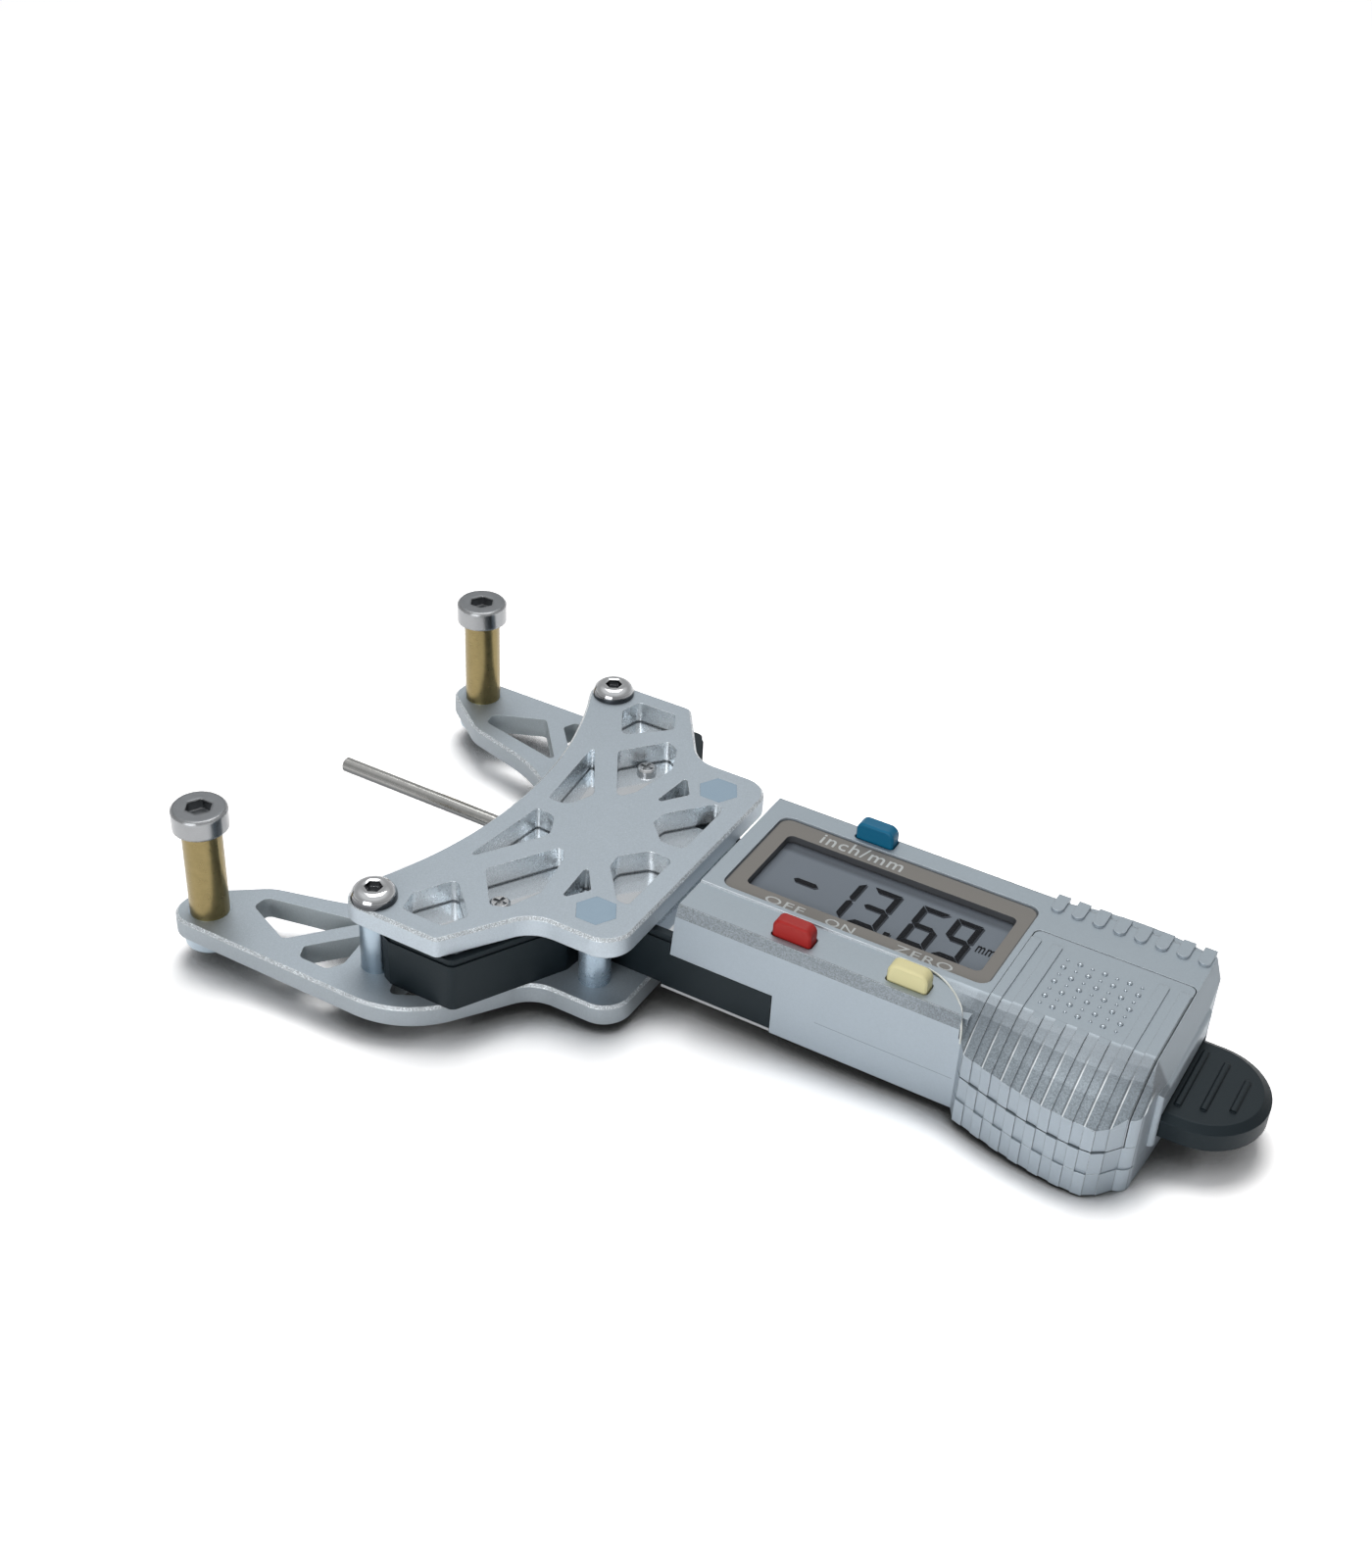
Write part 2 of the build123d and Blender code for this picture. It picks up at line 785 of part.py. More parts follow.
def front_block():
    """The front of the housing: a leaning face, the overhang over the stem and the deep part."""
    side = [
        (lean_foot, overhang),
        (house_front, house_top),
        (grip_front + 2, house_top),
        (grip_front + 2, house_bottom),
        (step_x, house_bottom),
        (step_x, overhang),
    ]
    return along_y(side, house_near, house_far)


def ridge_area():
    """The plan of the hollow behind the curved ridge, where the shoulder ends."""
    ridge_foot = (ridge_end, house_near + 0.4)
    ridge = Spline((crease_end, shoulder_edge), (90.0, -7.3), (91.6, -8.8), ridge_foot)
    outside = house_near - 1.1
    rest = Polyline(ridge_foot, (ridge_end + 0.2, outside), (grip_front + 3, outside),
                    (grip_front + 3, shoulder_edge), (crease_end, shoulder_edge))
    return make_face(Wire(ridge.edges() + rest.edges()))


def housing_form():
    """The outside of the housing, before anything is cut into it."""
    area = ridge_area()
    shoulder = box(lean_foot - 1, grip_front, house_near - 1, shoulder_edge,
                   house_top - shoulder_drop, house_top + 1)
    shoulder -= extrude(Location((0, 0, house_top - 1)) * area, 3)
    hollow = extrude(Location((0, 0, slope_foot - 1)) * area, 6)
    hollow = hollow & slope_space(0, crease_end)
    band = along_x([(house_near + band_in, house_top - shoulder_drop), (house_near, band_low),
                    (house_near - 1, band_low), (house_near - 1, house_top)],
                   lean_foot - 1, ridge_end)
    form = front_block() - shoulder - band
    form -= box(grip_front, grip_front + 3, house_near - 1, house_far + 1, house_bottom - 1, house_top + 1)
    form = (form - hollow) + grip_block(0, True)
    bow_from = (grip_front + 2.6, house_far)
    bow_to = (grip_rear - 2.2, house_far)
    bow_middle = ((bow_from[0] + bow_to[0]) / 2, house_far + far_bow)
    swell = Wire(ThreePointArc(bow_from, bow_middle, bow_to).edges() + Line(bow_to, bow_from).edges())
    form += extrude(Location((0, 0, house_bottom)) * make_face(swell), house_top - 0.3 - house_bottom)
    bevel_slope = rear_bevel_drop / rear_bevel
    reach = 3.0
    bevel_at = grip_rear - rear_bevel
    form -= along_y([(bevel_at, house_top), (bevel_at + reach, house_top - reach * bevel_slope),
                     (bevel_at + reach, house_top + 1), (bevel_at, house_top + 1)],
                    house_near - 7, house_far + 2)
    round_axis = Location(((house_front + grip_rear) / 2, house_far - far_edge_round,
                           house_top - far_edge_round), (0, 90, 0))
    edge = box(house_front - 1, grip_rear - rear_bevel, house_far - far_edge_round, house_far + 0.01,
               house_top - far_edge_round, house_top + 1)
    edge -= round_axis * Cylinder(far_edge_round, 80)
    form -= edge
    for k in range(pad_count):
        x = columns_from + 0.6 + k * pad_pitch
        pad = box(x - pad_width / 2, x + pad_width / 2, pad_near + pad_width / 2, house_far + 0.2,
                  house_top - 1.0, house_top + pad_height)
        pad += rod(x, pad_near + pad_width / 2, house_top - 0.5, house_top + pad_height, pad_width)
        form += pad
    return form


def button_hole(at, grow, z0, z1):
    """The upright shaft that a button moves in."""
    x, y = at
    half_x = button_half_x + grow
    half_y = button_half_y + grow
    return slab(rectangle(x - half_x, x + half_x, y - half_y, y + half_y, 0.5), z0, z1)


def button_pocket(at):
    """The room under a button's hole for its wings and arm over the whole travel."""
    x, y = at
    half_x = button_half_x + button_wing + button_room
    half_y = button_half_y + button_room
    low = cavity_top - button_flange - button_arm - button_travel - button_room
    return box(x - half_x, x + half_x, y - half_y, y + half_y, low, cavity_top)


def door_area(grow, z0, z1):
    """The battery door seen from above, drawn out between two heights."""
    return slab([(door_front - grow, -20.0, 0), (door_rear + grow, -20.0, 0),
                 (door_rear + grow, door_far + grow, 0.9), (door_front - grow, door_far + grow, 0.9)],
                z0, z1)


def display_housing():
    """The silver housing: front cavity, battery pocket, screw bosses and all its openings."""
    body = housing_form()
    body -= box(house_front + house_wall, grip_front, cavity_near, cavity_far, ledge_top, cavity_top)
    body -= box(step_x + house_wall, cavity_rear, cavity_near, cavity_far, house_bottom - 1, tray_top)
    body -= box(lean_foot - 1, step_x + 2 * house_wall, -narrow_half - 0.1, narrow_half + 0.1,
                house_bottom - 1, ledge_top + 0.1)
    body += along_y([(lean_foot, overhang), (house_front, house_top - 2), (house_front + house_wall,
                    house_top - 2), (house_front + house_wall, overhang)], -narrow_half - 0.5,
                    narrow_half + 0.5)
    body -= box(lean_foot - 1, house_front + 2 * house_wall, -channel_half - 0.1, channel_half + 0.1,
                overhang - 1, channel_top + 0.1)
    body -= slab(rectangle(*window, window_round), cavity_top - 1, house_top + 1)
    for at in (unit_at, power_at, zero_at):
        body -= button_hole(at, button_room, cavity_top - 1, house_top + 1)
        body -= button_pocket(at)
    opening = door_area(door_room, row_low[2] - door_room, house_top + 2)
    body -= opening - grip_block(door_thick + 0.1)
    body -= box(*pocket, tray_top - 1, house_top + 1)
    body += box(ridge_wall_from, grip_front, cavity_near, window[2] - bezel_flange - 0.05, slope_foot,
                cavity_top)
    body -= box(pocket[0] + 0.3, pocket[1] - 0.3, pocket[3] - 1, door_far + door_lip + 0.15,
                lip_low - 0.1, lip_low + door_lip_thick + 0.1)
    for (x, y), top in zip(back_screw_at, boss_tops):
        body += rod(x, y, floor_top, top, boss_dia) - rod(x, y, floor_top, floor_top + back_reach + 0.5,
                                                       back_thread)
    lip = box(grip_rear - 1, grip_rear + lip_out, -lip_half, lip_half, lip_from, lip_to)
    outer = lip.faces().sort_by(Axis.X)[-1].edges()
    body += fillet(outer.group_by(Axis.Z)[-1] + outer.filter_by(Axis.Z), lip_round)
    for half, low in ((tab_half, tab_low), (neck_half, bar_low)):
        body -= box(grip_rear - 2, grip_rear + 2, -half - slot_room, half + slot_room, low - slot_room,
                    tab_high + slot_over)
    return body


# Window, display and board


def window_bezel():
    """The warm grey frame round the display, with a flange under the housing's top."""
    x0, x1, y0, y1 = window
    face = house_top - bezel_sink
    frame = slab(rectangle(x0 + 0.05, x1 - 0.05, y0 + 0.05, y1 - 0.05, window_round), cavity_top, face)
    frame += box(x0 - bezel_flange, x1 - 0.05, y0 - bezel_flange, y1 + bezel_flange,
                 face - bezel_depth - 0.05, cavity_top)
    return frame - slab(rectangle(*glass, glass_round), face - bezel_depth - 0.05, face)


def window_lens():
    """The clear lens over the display."""
    x0, x1, y0, y1 = glass
    return slab(rectangle(x0 + 0.03, x1 - 0.03, y0 + 0.03, y1 - 0.03, glass_round), panel_top,
                panel_top + lens_thick)


def display_panel():
    """The display's glass panel, held up against the bezel."""
    x0, x1, y0, y1 = glass
    return box(x0 - 0.8, x1 + 0.8, y0 - 1.0, y1 + 0.9, panel_low, panel_top)


def elastomer_strip(side):
    """A conductive strip between the board and one edge of the panel."""
    y0, y1 = glass[2:]
    y = y1 + 0.2 if side > 0 else y0 - 0.3
    return box(glass[0] + 0.5, glass[1] - 0.5, y - strip_width / 2, y + strip_width / 2,
               board_top, panel_low)


def circuit_board():
    """The board on the slide's channel, cleared round the bosses."""
    board = box(house_front + house_wall + 0.2, board_rear, cavity_near + 0.6, cavity_far - 0.6,
                board_low, board_top)
    for x, y in back_screw_at:
        if x < board_rear:
            board -= rod(x, y, board_low, board_top, boss_dia + 0.6)
    return board


def stem_place(at):
    """Where a button's stem stands: in from the wall, over the board."""
    return at[0], far_stem if at[1] > 0 else near_stem


def key_pad(at):
    """One rubber key with its dome."""
    x, y = stem_place(at)
    pad = box(x - pad_half_x, x + pad_half_x, y - pad_half_y, y + pad_half_y, board_top,
              board_top + mat_thick)
    return pad + rod(x, y, board_top + mat_thick, board_top + 2 * mat_thick, dome_dia)


def button(at, top):
    """A rounded key cap, with a flange under the housing's top and a stem down to its dome."""
    x, y = at
    cap = box(x - button_half_x, x + button_half_x, y - button_half_y, y + button_half_y, cavity_top,
              top + button_rise)
    cap = fillet(cap.edges().group_by(Axis.Z)[-1].filter_by(Axis.Y), button_end_round)
    upper = [e for e in cap.edges() if e.center().Z > top + button_rise - button_end_round - 0.1]
    cap = chamfer(upper, button_break)
    stem_x, stem_y = stem_place(at)
    low = min(y - button_half_y, stem_y - stem_dia / 2 - 0.1)
    high = max(y + button_half_y, stem_y + stem_dia / 2 + 0.1)
    half_x = button_half_x + button_wing
    wings = box(x - half_x, x + half_x, y - button_half_y, y + button_half_y,
                cavity_top - button_flange, cavity_top)
    arm_low = cavity_top - button_flange - button_arm
    arm = box(x - button_arm_half, x + button_arm_half, low, high, arm_low, cavity_top - button_flange)
    return cap + wings + arm + rod(stem_x, stem_y, stem_end, arm_low, stem_dia)


# Battery compartment


def battery_tray():
    """The tray under the pocket, with a low ring round the cell."""
    x0, x1, y0, y1 = pocket
    tray = box(x0 - 1.2, x1 + 0.9, cavity_near + 0.05, y1 + 1.2, tray_low, tray_top)
    ring_top = tray_top + ring_high
    clear = cell_dia + cell_room
    ring = rod(cell_x, cell_y, tray_top, ring_top, clear + 2 * ring_wall)
    ring -= rod(cell_x, cell_y, tray_top, ring_top, clear)
    ring -= box(cell_x - cell_dia, cell_x, cell_y - rim_half - 0.3, cell_y + rim_half + 0.3, tray_top,
                ring_top)
    return tray + ring


cell_low = tray_top + contact_thick


def battery_cell():
    """The button cell, its can broken at the rim."""
    cell = rod(cell_x, cell_y, cell_low, cell_low + cell_high, cell_dia)
    return chamfer(cell.edges().group_by(Axis.Z)[-1], cell_edge)


def battery_contacts():
    """The contact under the cell and the one at its rim."""
    below = box(cell_x - foot_half_x, cell_x + foot_half_x, cell_y - foot_half_y, cell_y + foot_half_y,
                tray_top, cell_low)
    rim_x = cell_x - cell_dia / 2
    rim = box(rim_x - contact_thick, rim_x, cell_y - rim_half, cell_y + rim_half, tray_top,
              tray_top + rim_high)
    return [below, rim]


def battery_door():
    """The sliding door: flat, slope and stepped upper row in one, ribbed along the slope."""
    area = door_area(0, row_low[2], house_top + 1)
    skin = (grip_block(0, True) - grip_block(door_thick)) & area
    ribs = grip_block(-rib_height)
    for k in range(0, column_count, 2):
        long_rib = k in (0, 2, 12, 14)
        far = 6.0 if long_rib else slope_start
        high = house_top + (rib_height if long_rib else 0.02)
        x0 = columns_from + k * column
        x1 = min(x0 + column, door_rear)
        strip = ribs & box(x0, x1, -20.0, far, row_low[2] + row_height, high)
        skin += strip - grip_block(door_thick / 2)
    skin_low = house_top - door_thick
    lip = box(pocket[0] + 0.4, pocket[1] - 0.4, pocket[3] - 1.5, door_far + door_lip, lip_low,
              lip_low + door_lip_thick)
    hook = box(pocket[0] + 0.4, pocket[1] - 0.4, pocket[3] - 1.5, pocket[3] - 0.2,
               lip_low + door_lip_thick, skin_low)
    return skin + lip + hook


# Back plate


def back_plate():
    """The thin plate under stem and housing."""
    plate = box(stem_rear - 1, step_x - front_gap, -stem_half, stem_half, -back_thick, 0)
    plate += box(step_x - 1, step_x + house_wall + 0.5, -narrow_half, narrow_half, -back_thick, 0)
    plate += box(step_x + house_wall + 0.1, inner_rear, inner_near, inner_far, -back_thick, 0)
    for x, y in back_screw_at:
        plate -= rod(x, y, -back_thick, 0, back_head_dia + 0.2)
    return plate


def back_screw(at):
    """A small screw let into the back plate."""
    x, y = at
    head = rod(x, y, -back_thick, 0, back_head_dia)
    return head + rod(x, y, 0, floor_top + back_reach, back_thread - thread_room)


def main():
    """Build every sub-part and write it."""
    os.makedirs("parts", exist_ok=True)
    sides = (-1, 1)
    write("lower_plate", lower_plate())
    write("top_plate", top_plate())
    write("post_inserts", *[post_insert(side) for side in sides])
    write("post_sleeves", *[post_sleeve(side) for side in sides])
    write("post_screws", *[post_screw(side) for side in sides])
    write("front_standoffs", *[front_standoff(side) for side in sides])
    write("front_screws", *[front_screw(side) for side in sides])
    write("rear_standoffs", *[rear_standoff(side) for side in sides])
    write("rear_screws", *[rear_screw(side) for side in sides])
    write("base_body", base_body())
    write("base_lid", base_lid())
    write("base_cover", base_cover())
    write("cover_screws", *[cover_screw(side) for side in sides])
    write("probe_bush", probe_bush())
    write("probe_rod", probe_rod())
    write("slide_bar", slide_bar())
    write("scale_strip", scale_strip())
    write("thumb_tab", thumb_tab())
    write("tab_pin", tab_pin())
    write("display_housing", display_housing())
    write("window_bezel", window_bezel())
    write("window_lens", window_lens())
    write("display_panel", display_panel())
    write("elastomer_strips", *[elastomer_strip(side) for side in sides])
    write("circuit_board", circuit_board())
    write("key_pads", *[key_pad(at) for at in (unit_at, power_at, zero_at)])
    write("unit_button", button(unit_at, house_top))
    write("power_button", button(power_at, house_top - shoulder_drop))
    write("zero_button", button(zero_at, house_top - shoulder_drop))
    write("battery_tray", battery_tray())
    write("battery_cell", battery_cell())
    write("battery_contacts", *battery_contacts())
    write("battery_door", battery_door())
    write("back_plate", back_plate())
    write("back_screws", *[back_screw(at) for at in back_screw_at])


if __name__ == "__main__":
    main()
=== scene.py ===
"""Digital belt tension gauge, dressed for a studio picture over its measured frame.

Sizes are in millimetres, measured from the midpoint between the two posts at the height of the black
stem's underside, with +X towards the thumb tab and +Y to the far side. The Bench class turns them
into the row's metres.
"""

import json
import logging
import math
from dataclasses import dataclass
from enum import Enum
from typing import Any, Callable, Iterable, Optional, Sequence

import bmesh
import bpy
from mathutils import Matrix, Vector

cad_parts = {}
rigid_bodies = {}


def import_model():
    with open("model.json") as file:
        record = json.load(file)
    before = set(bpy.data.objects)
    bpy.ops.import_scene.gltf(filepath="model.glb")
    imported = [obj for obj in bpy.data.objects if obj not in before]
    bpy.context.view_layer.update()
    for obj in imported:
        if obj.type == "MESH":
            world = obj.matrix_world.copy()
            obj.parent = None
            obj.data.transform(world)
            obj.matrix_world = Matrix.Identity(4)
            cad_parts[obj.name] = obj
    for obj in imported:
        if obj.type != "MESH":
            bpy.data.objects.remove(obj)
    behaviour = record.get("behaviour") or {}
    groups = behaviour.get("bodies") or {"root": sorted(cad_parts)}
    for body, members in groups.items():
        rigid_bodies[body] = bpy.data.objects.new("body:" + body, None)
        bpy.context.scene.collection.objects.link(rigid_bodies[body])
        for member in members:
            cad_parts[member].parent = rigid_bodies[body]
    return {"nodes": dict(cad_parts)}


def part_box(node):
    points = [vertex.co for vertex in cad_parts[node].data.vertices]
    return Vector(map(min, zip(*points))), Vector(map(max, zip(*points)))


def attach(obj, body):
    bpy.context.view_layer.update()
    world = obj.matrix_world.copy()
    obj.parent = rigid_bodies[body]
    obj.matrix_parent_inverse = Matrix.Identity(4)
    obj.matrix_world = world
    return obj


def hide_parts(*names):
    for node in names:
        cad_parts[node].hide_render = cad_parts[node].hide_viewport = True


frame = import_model()

log = logging.getLogger("belt_gauge")
Flat = tuple[float, float]
Point = tuple[float, float, float]
Colour = tuple[float, float, float, float]


def srgb(red: int, green: int, blue: int) -> Colour:
    """Turn a display colour into the linear one that shaders use.

    Args:
        red: Red, 0 to 255.
        green: Green, 0 to 255.
        blue: Blue, 0 to 255.

    Returns:
        The linear colour with full alpha.
    """
    def linear(value: int) -> float:
        """Turn one of the three parts."""
        part = value / 255
        return part / 12.92 if part <= 0.04045 else ((part + 0.055) / 1.055) ** 2.4
    return (linear(red), linear(green), linear(blue), 1.0)


class Body(Enum):
    """The bodies that pieces ride on."""

    FRAME = "gauge_frame"
    SLIDER = "slider"
    DOOR = "door"


class Bench:
    """The measuring frame on the gauge, tied to the carried-over solids."""

    deck: float = 0.3

    def __init__(self) -> None:
        """Read the origin from the post sleeves, which stand on the lower plate's deck."""
        low, high = (Vector(corner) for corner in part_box("post_sleeves"))
        middle = (low + high) / 2
        self.origin = Vector((middle.x, middle.y, low.z - self.deck / 1000))

    def row(self, x: float, y: float, z: float) -> Vector:
        """Turn a measured point into the row's metres."""
        return self.origin + Vector((x, y, z)) / 1000

    def matrix(self) -> Matrix:
        """The transform from measured millimetres to the row's metres."""
        return Matrix.Translation(self.origin) @ Matrix.Scale(0.001, 4)

    def low(self, node: str) -> Vector:
        """A node's lowest corner in measured millimetres."""
        return (Vector(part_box(node)[0]) - self.origin) * 1000

    def high(self, node: str) -> Vector:
        """A node's highest corner in measured millimetres."""
        return (Vector(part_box(node)[1]) - self.origin) * 1000


bench = Bench()


class Value:
    """A number socket that is written in Python's own sums."""

    def __init__(self, shader: "Shader", socket: Any) -> None:
        """Keep the shader that the sum's nodes go into, and the socket."""
        self.shader = shader
        self.socket = socket

    def sum_of(self, operation: str, *parts: Any, clamp: bool = False) -> "Value":
        """Add one Math node.

        Args:
            operation: The Math node's operation.
            parts: Numbers or values for its inputs.
            clamp: Whether its result is kept between 0 and 1.

        Returns:
            The node's result.
        """
        made = self.shader.node("ShaderNodeMath", {"operation": operation, "use_clamp": clamp},
                                dict(enumerate(parts)))
        return Value(self.shader, made.outputs[0])

    def __add__(self, other: Any) -> "Value":
        """Add."""
        return self.sum_of("ADD", self, other)

    __radd__ = __add__

    def __sub__(self, other: Any) -> "Value":
        """Take away."""
        return self.sum_of("SUBTRACT", self, other)

    def __rsub__(self, other: Any) -> "Value":
        """Take away from a number."""
        return self.sum_of("SUBTRACT", other, self)

    def __mul__(self, other: Any) -> "Value":
        """Multiply."""
        return self.sum_of("MULTIPLY", self, other)

    __rmul__ = __mul__

    def __truediv__(self, other: Any) -> "Value":
        """Divide."""
        return self.sum_of("DIVIDE", self, other)

    def __abs__(self) -> "Value":
        """The size without its sign."""
        return self.sum_of("ABSOLUTE", self)

    def __gt__(self, other: Any) -> "Value":
        """One where it is greater, else nought."""
        return self.sum_of("GREATER_THAN", self, other)

    def __lt__(self, other: Any) -> "Value":
        """One where it is less, else nought."""
        return self.sum_of("LESS_THAN", self, other)

    def power(self, exponent: float) -> "Value":
        """Raise to a power."""
        return self.sum_of("POWER", self, exponent)

    def held(self) -> "Value":
        """Keep between nought and one."""
        return self.sum_of("ADD", self, 0.0, clamp=True)

    def most(self, other: Any) -> "Value":
        """The larger of the two."""
        return self.sum_of("MAXIMUM", self, other)

    def hypot(self, other: "Value") -> "Value":
        """The length of the slanting side over two sides at a right angle."""
        return (self * self + other * other).power(0.5)

    def part(self) -> "Value":
        """What is left over a whole number."""
        return self.sum_of("FRACT", self)

    def ramp(self, start: float, end: float) -> "Value":
        """Climb smoothly from nought at start to one at end."""
        made = self.shader.node("ShaderNodeMapRange", {"interpolation_type": "SMOOTHSTEP"},
                                {"Value": self, "From Min": start, "From Max": end})
        return Value(self.shader, made.outputs["Result"])


class Nodes:
    """A node tree, with one call that adds a node, sets it and wires it."""

    def __init__(self, tree: bpy.types.NodeTree) -> None:
        """Keep the tree."""
        self.tree = tree

    def feed(self, socket: Any, value: Any) -> None:
        """Link a Value or another node's socket to an input, or set the input to a plain value."""
        if isinstance(value, Value):
            value = value.socket
        if isinstance(value, bpy.types.NodeSocket):
            self.tree.links.new(value, socket)
        else:
            socket.default_value = value

    def node(self, kind: str, settings: Optional[dict] = None, inputs: Optional[dict] = None) -> Any:
        """Add a node.

        Args:
            kind: The node's type.
            settings: Its own settings, such as an operation or a ramp's stops, set first.
            inputs: Values, sockets or Value objects, by input name or number. None is left out.

        Returns:
            The node.
        """
        made = self.tree.nodes.new(kind)
        for name, value in (settings or {}).items():
            if name == "stops":
                stops = made.color_ramp.elements
                while len(stops) < len(value):
                    stops.new(0.5)
                for stop, (at, colour) in zip(stops, value):
                    stop.position = at
                    stop.color = colour
            else:
                setattr(made, name, value)
        for name, value in (inputs or {}).items():
            if value is not None:
                self.feed(made.inputs[name], value)
        return made


class Shader(Nodes):
    """A material under construction, with the nodes that this gauge's finishes share."""

    rays: int = 6

    def __init__(self, name: str) -> None:
        """Start a material with one Principled shader.

        Args:
            name: The material's name.
        """
        self.material = bpy.data.materials.new(name)
        self.material.use_nodes = True
        super().__init__(self.material.node_tree)
        self.main = self.tree.nodes["Principled BSDF"]
        self.places = self.node("ShaderNodeTexCoord").outputs["Object"]

    def axis(self, letter: str, offset: float = 0.0) -> Value:
        """One coordinate of the surface in measured millimetres.

        Args:
            letter: X, Y or Z.
            offset: Taken away from it, in millimetres.

        Returns:
            The coordinate.
        """
        split = self.node("ShaderNodeSeparateXYZ", inputs={0: self.places})
        index = "XYZ".index(letter)
        return (Value(self, split.outputs[index]) - bench.origin[index]) * 1000 - offset

    def facing(self, letter: str) -> Value:
        """One component of the true surface normal.

        Args:
            letter: X, Y or Z.

        Returns:
            The component, -1 to 1.
        """
        normal = self.node("ShaderNodeNewGeometry").outputs["True Normal"]
        split = self.node("ShaderNodeSeparateXYZ", inputs={0: normal})
        return Value(self, split.outputs["XYZ".index(letter)])

    def noise(self, grain: float, detail: float = 2.0, stretch: Point = (1.0, 1.0, 1.0)) -> Value:
        """Soft noise over the surface.

        Args:
            grain: The size of its blobs in millimetres.
            detail: How many finer layers it has.
            stretch: How much longer the blobs are along X, Y and Z.

        Returns:
            The noise, about 0.5.
        """
        scale = tuple(1000 / (grain * part) for part in stretch)
        mapped = self.node("ShaderNodeMapping", inputs={"Vector": self.places, "Scale": scale})
        made = self.node("ShaderNodeTexNoise", inputs={"Vector": mapped.outputs[0], "Scale": 1.0,
                                                       "Detail": detail})
        return Value(self, made.outputs[0])

    def flecks(self, grain: float) -> Value:
        """Random flakes, each of one value.

        Args:
            grain: Their size in millimetres.

        Returns:
            The value, 0 to 1.
        """
        cell = self.node("ShaderNodeTexVoronoi", inputs={"Vector": self.places, "Scale": 1000 / grain})
        split = self.node("ShaderNodeSeparateColor", inputs={0: cell.outputs["Color"]})
        return Value(self, split.outputs[0])

    def blend(self, factor: Any, first: Any, second: Any) -> Any:
        """Mix two colours by a factor and return the colour socket."""
        made = self.node("ShaderNodeMix", {"data_type": "RGBA"}, {0: factor, 6: first, 7: second})
        return made.outputs[2]

    def shade(self, colour: Any, amount: Value) -> Any:
        """Multiply a colour by a number.

        Args:
            colour: The colour or its socket.
            amount: The number.

        Returns:
            The colour socket.
        """
        grey = self.node("ShaderNodeCombineColor", inputs={0: amount, 1: amount, 2: amount})
        made = self.node("ShaderNodeMix", {"data_type": "RGBA", "blend_type": "MULTIPLY"},
                         {0: 1.0, 6: colour, 7: grey.outputs[0]})
        return made.outputs[2]

    def rounded(self, radius: float) -> Any:
        """The surface normal with its sharp edges rounded, radius in millimetres."""
        return self.node("ShaderNodeBevel", {"samples": self.rays}, {"Radius": radius / 1000}).outputs[0]

    def open_air(self, reach: float) -> Value:
        """One in the open, less in joints and corners, looked for within a reach in millimetres."""
        made = self.node("ShaderNodeAmbientOcclusion", {"samples": self.rays}, {"Distance": reach / 1000})
        return Value(self, made.outputs["AO"])

    def arris(self, radius: float, reach: float = 0.3) -> Value:
        """Find outer edges.

        Args:
            radius: How far from an edge it still shows, in millimetres.
            reach: How near another face makes it a joint, in millimetres.

        Returns:
            Nought on faces and in joints, one along outer edges.
        """
        normal = self.node("ShaderNodeNewGeometry").outputs["Normal"]
        turned = self.node("ShaderNodeVectorMath", {"operation": "DOT_PRODUCT"},
                           {0: self.rounded(radius), 1: normal})
        bend = 1 - Value(self, turned.outputs["Value"])
        return bend.ramp(0.01, 0.16) * self.open_air(reach).ramp(0.55, 0.85)

    def bump(self, height: Value, depth: float, base: Any = None, strength: float = 1.0) -> Any:
        """The normal that a height field gives.

        Args:
            height: The field, 0 to 1.
            depth: Its depth in millimetres.
            base: The normal that it disturbs.
            strength: How strongly it shows.

        Returns:
            The normal socket.
        """
        made = self.node("ShaderNodeBump", inputs={"Strength": strength, "Distance": depth / 1000,
                                                   "Height": height, "Normal": base})
        return made.outputs[0]

    def set(self, **values: Any) -> None:
        """Set or link the Principled shader's sockets, with underscores for spaces."""
        for name, value in values.items():
            self.feed(self.main.inputs[name.replace("_", " ")], value)


class Finish:
    """A finish: the name of its material, and how its shader is wired."""

    name: str

    def build(self) -> bpy.types.Material:
        """Make the material.

        Returns:
            The material.
        """
        shader = Shader(self.name)
        self.wire(shader)
        return shader.material

    def wire(self, shader: Shader) -> None:
        """Wire the finish into a fresh shader.

        Args:
            shader: The material under construction.
        """
        raise NotImplementedError


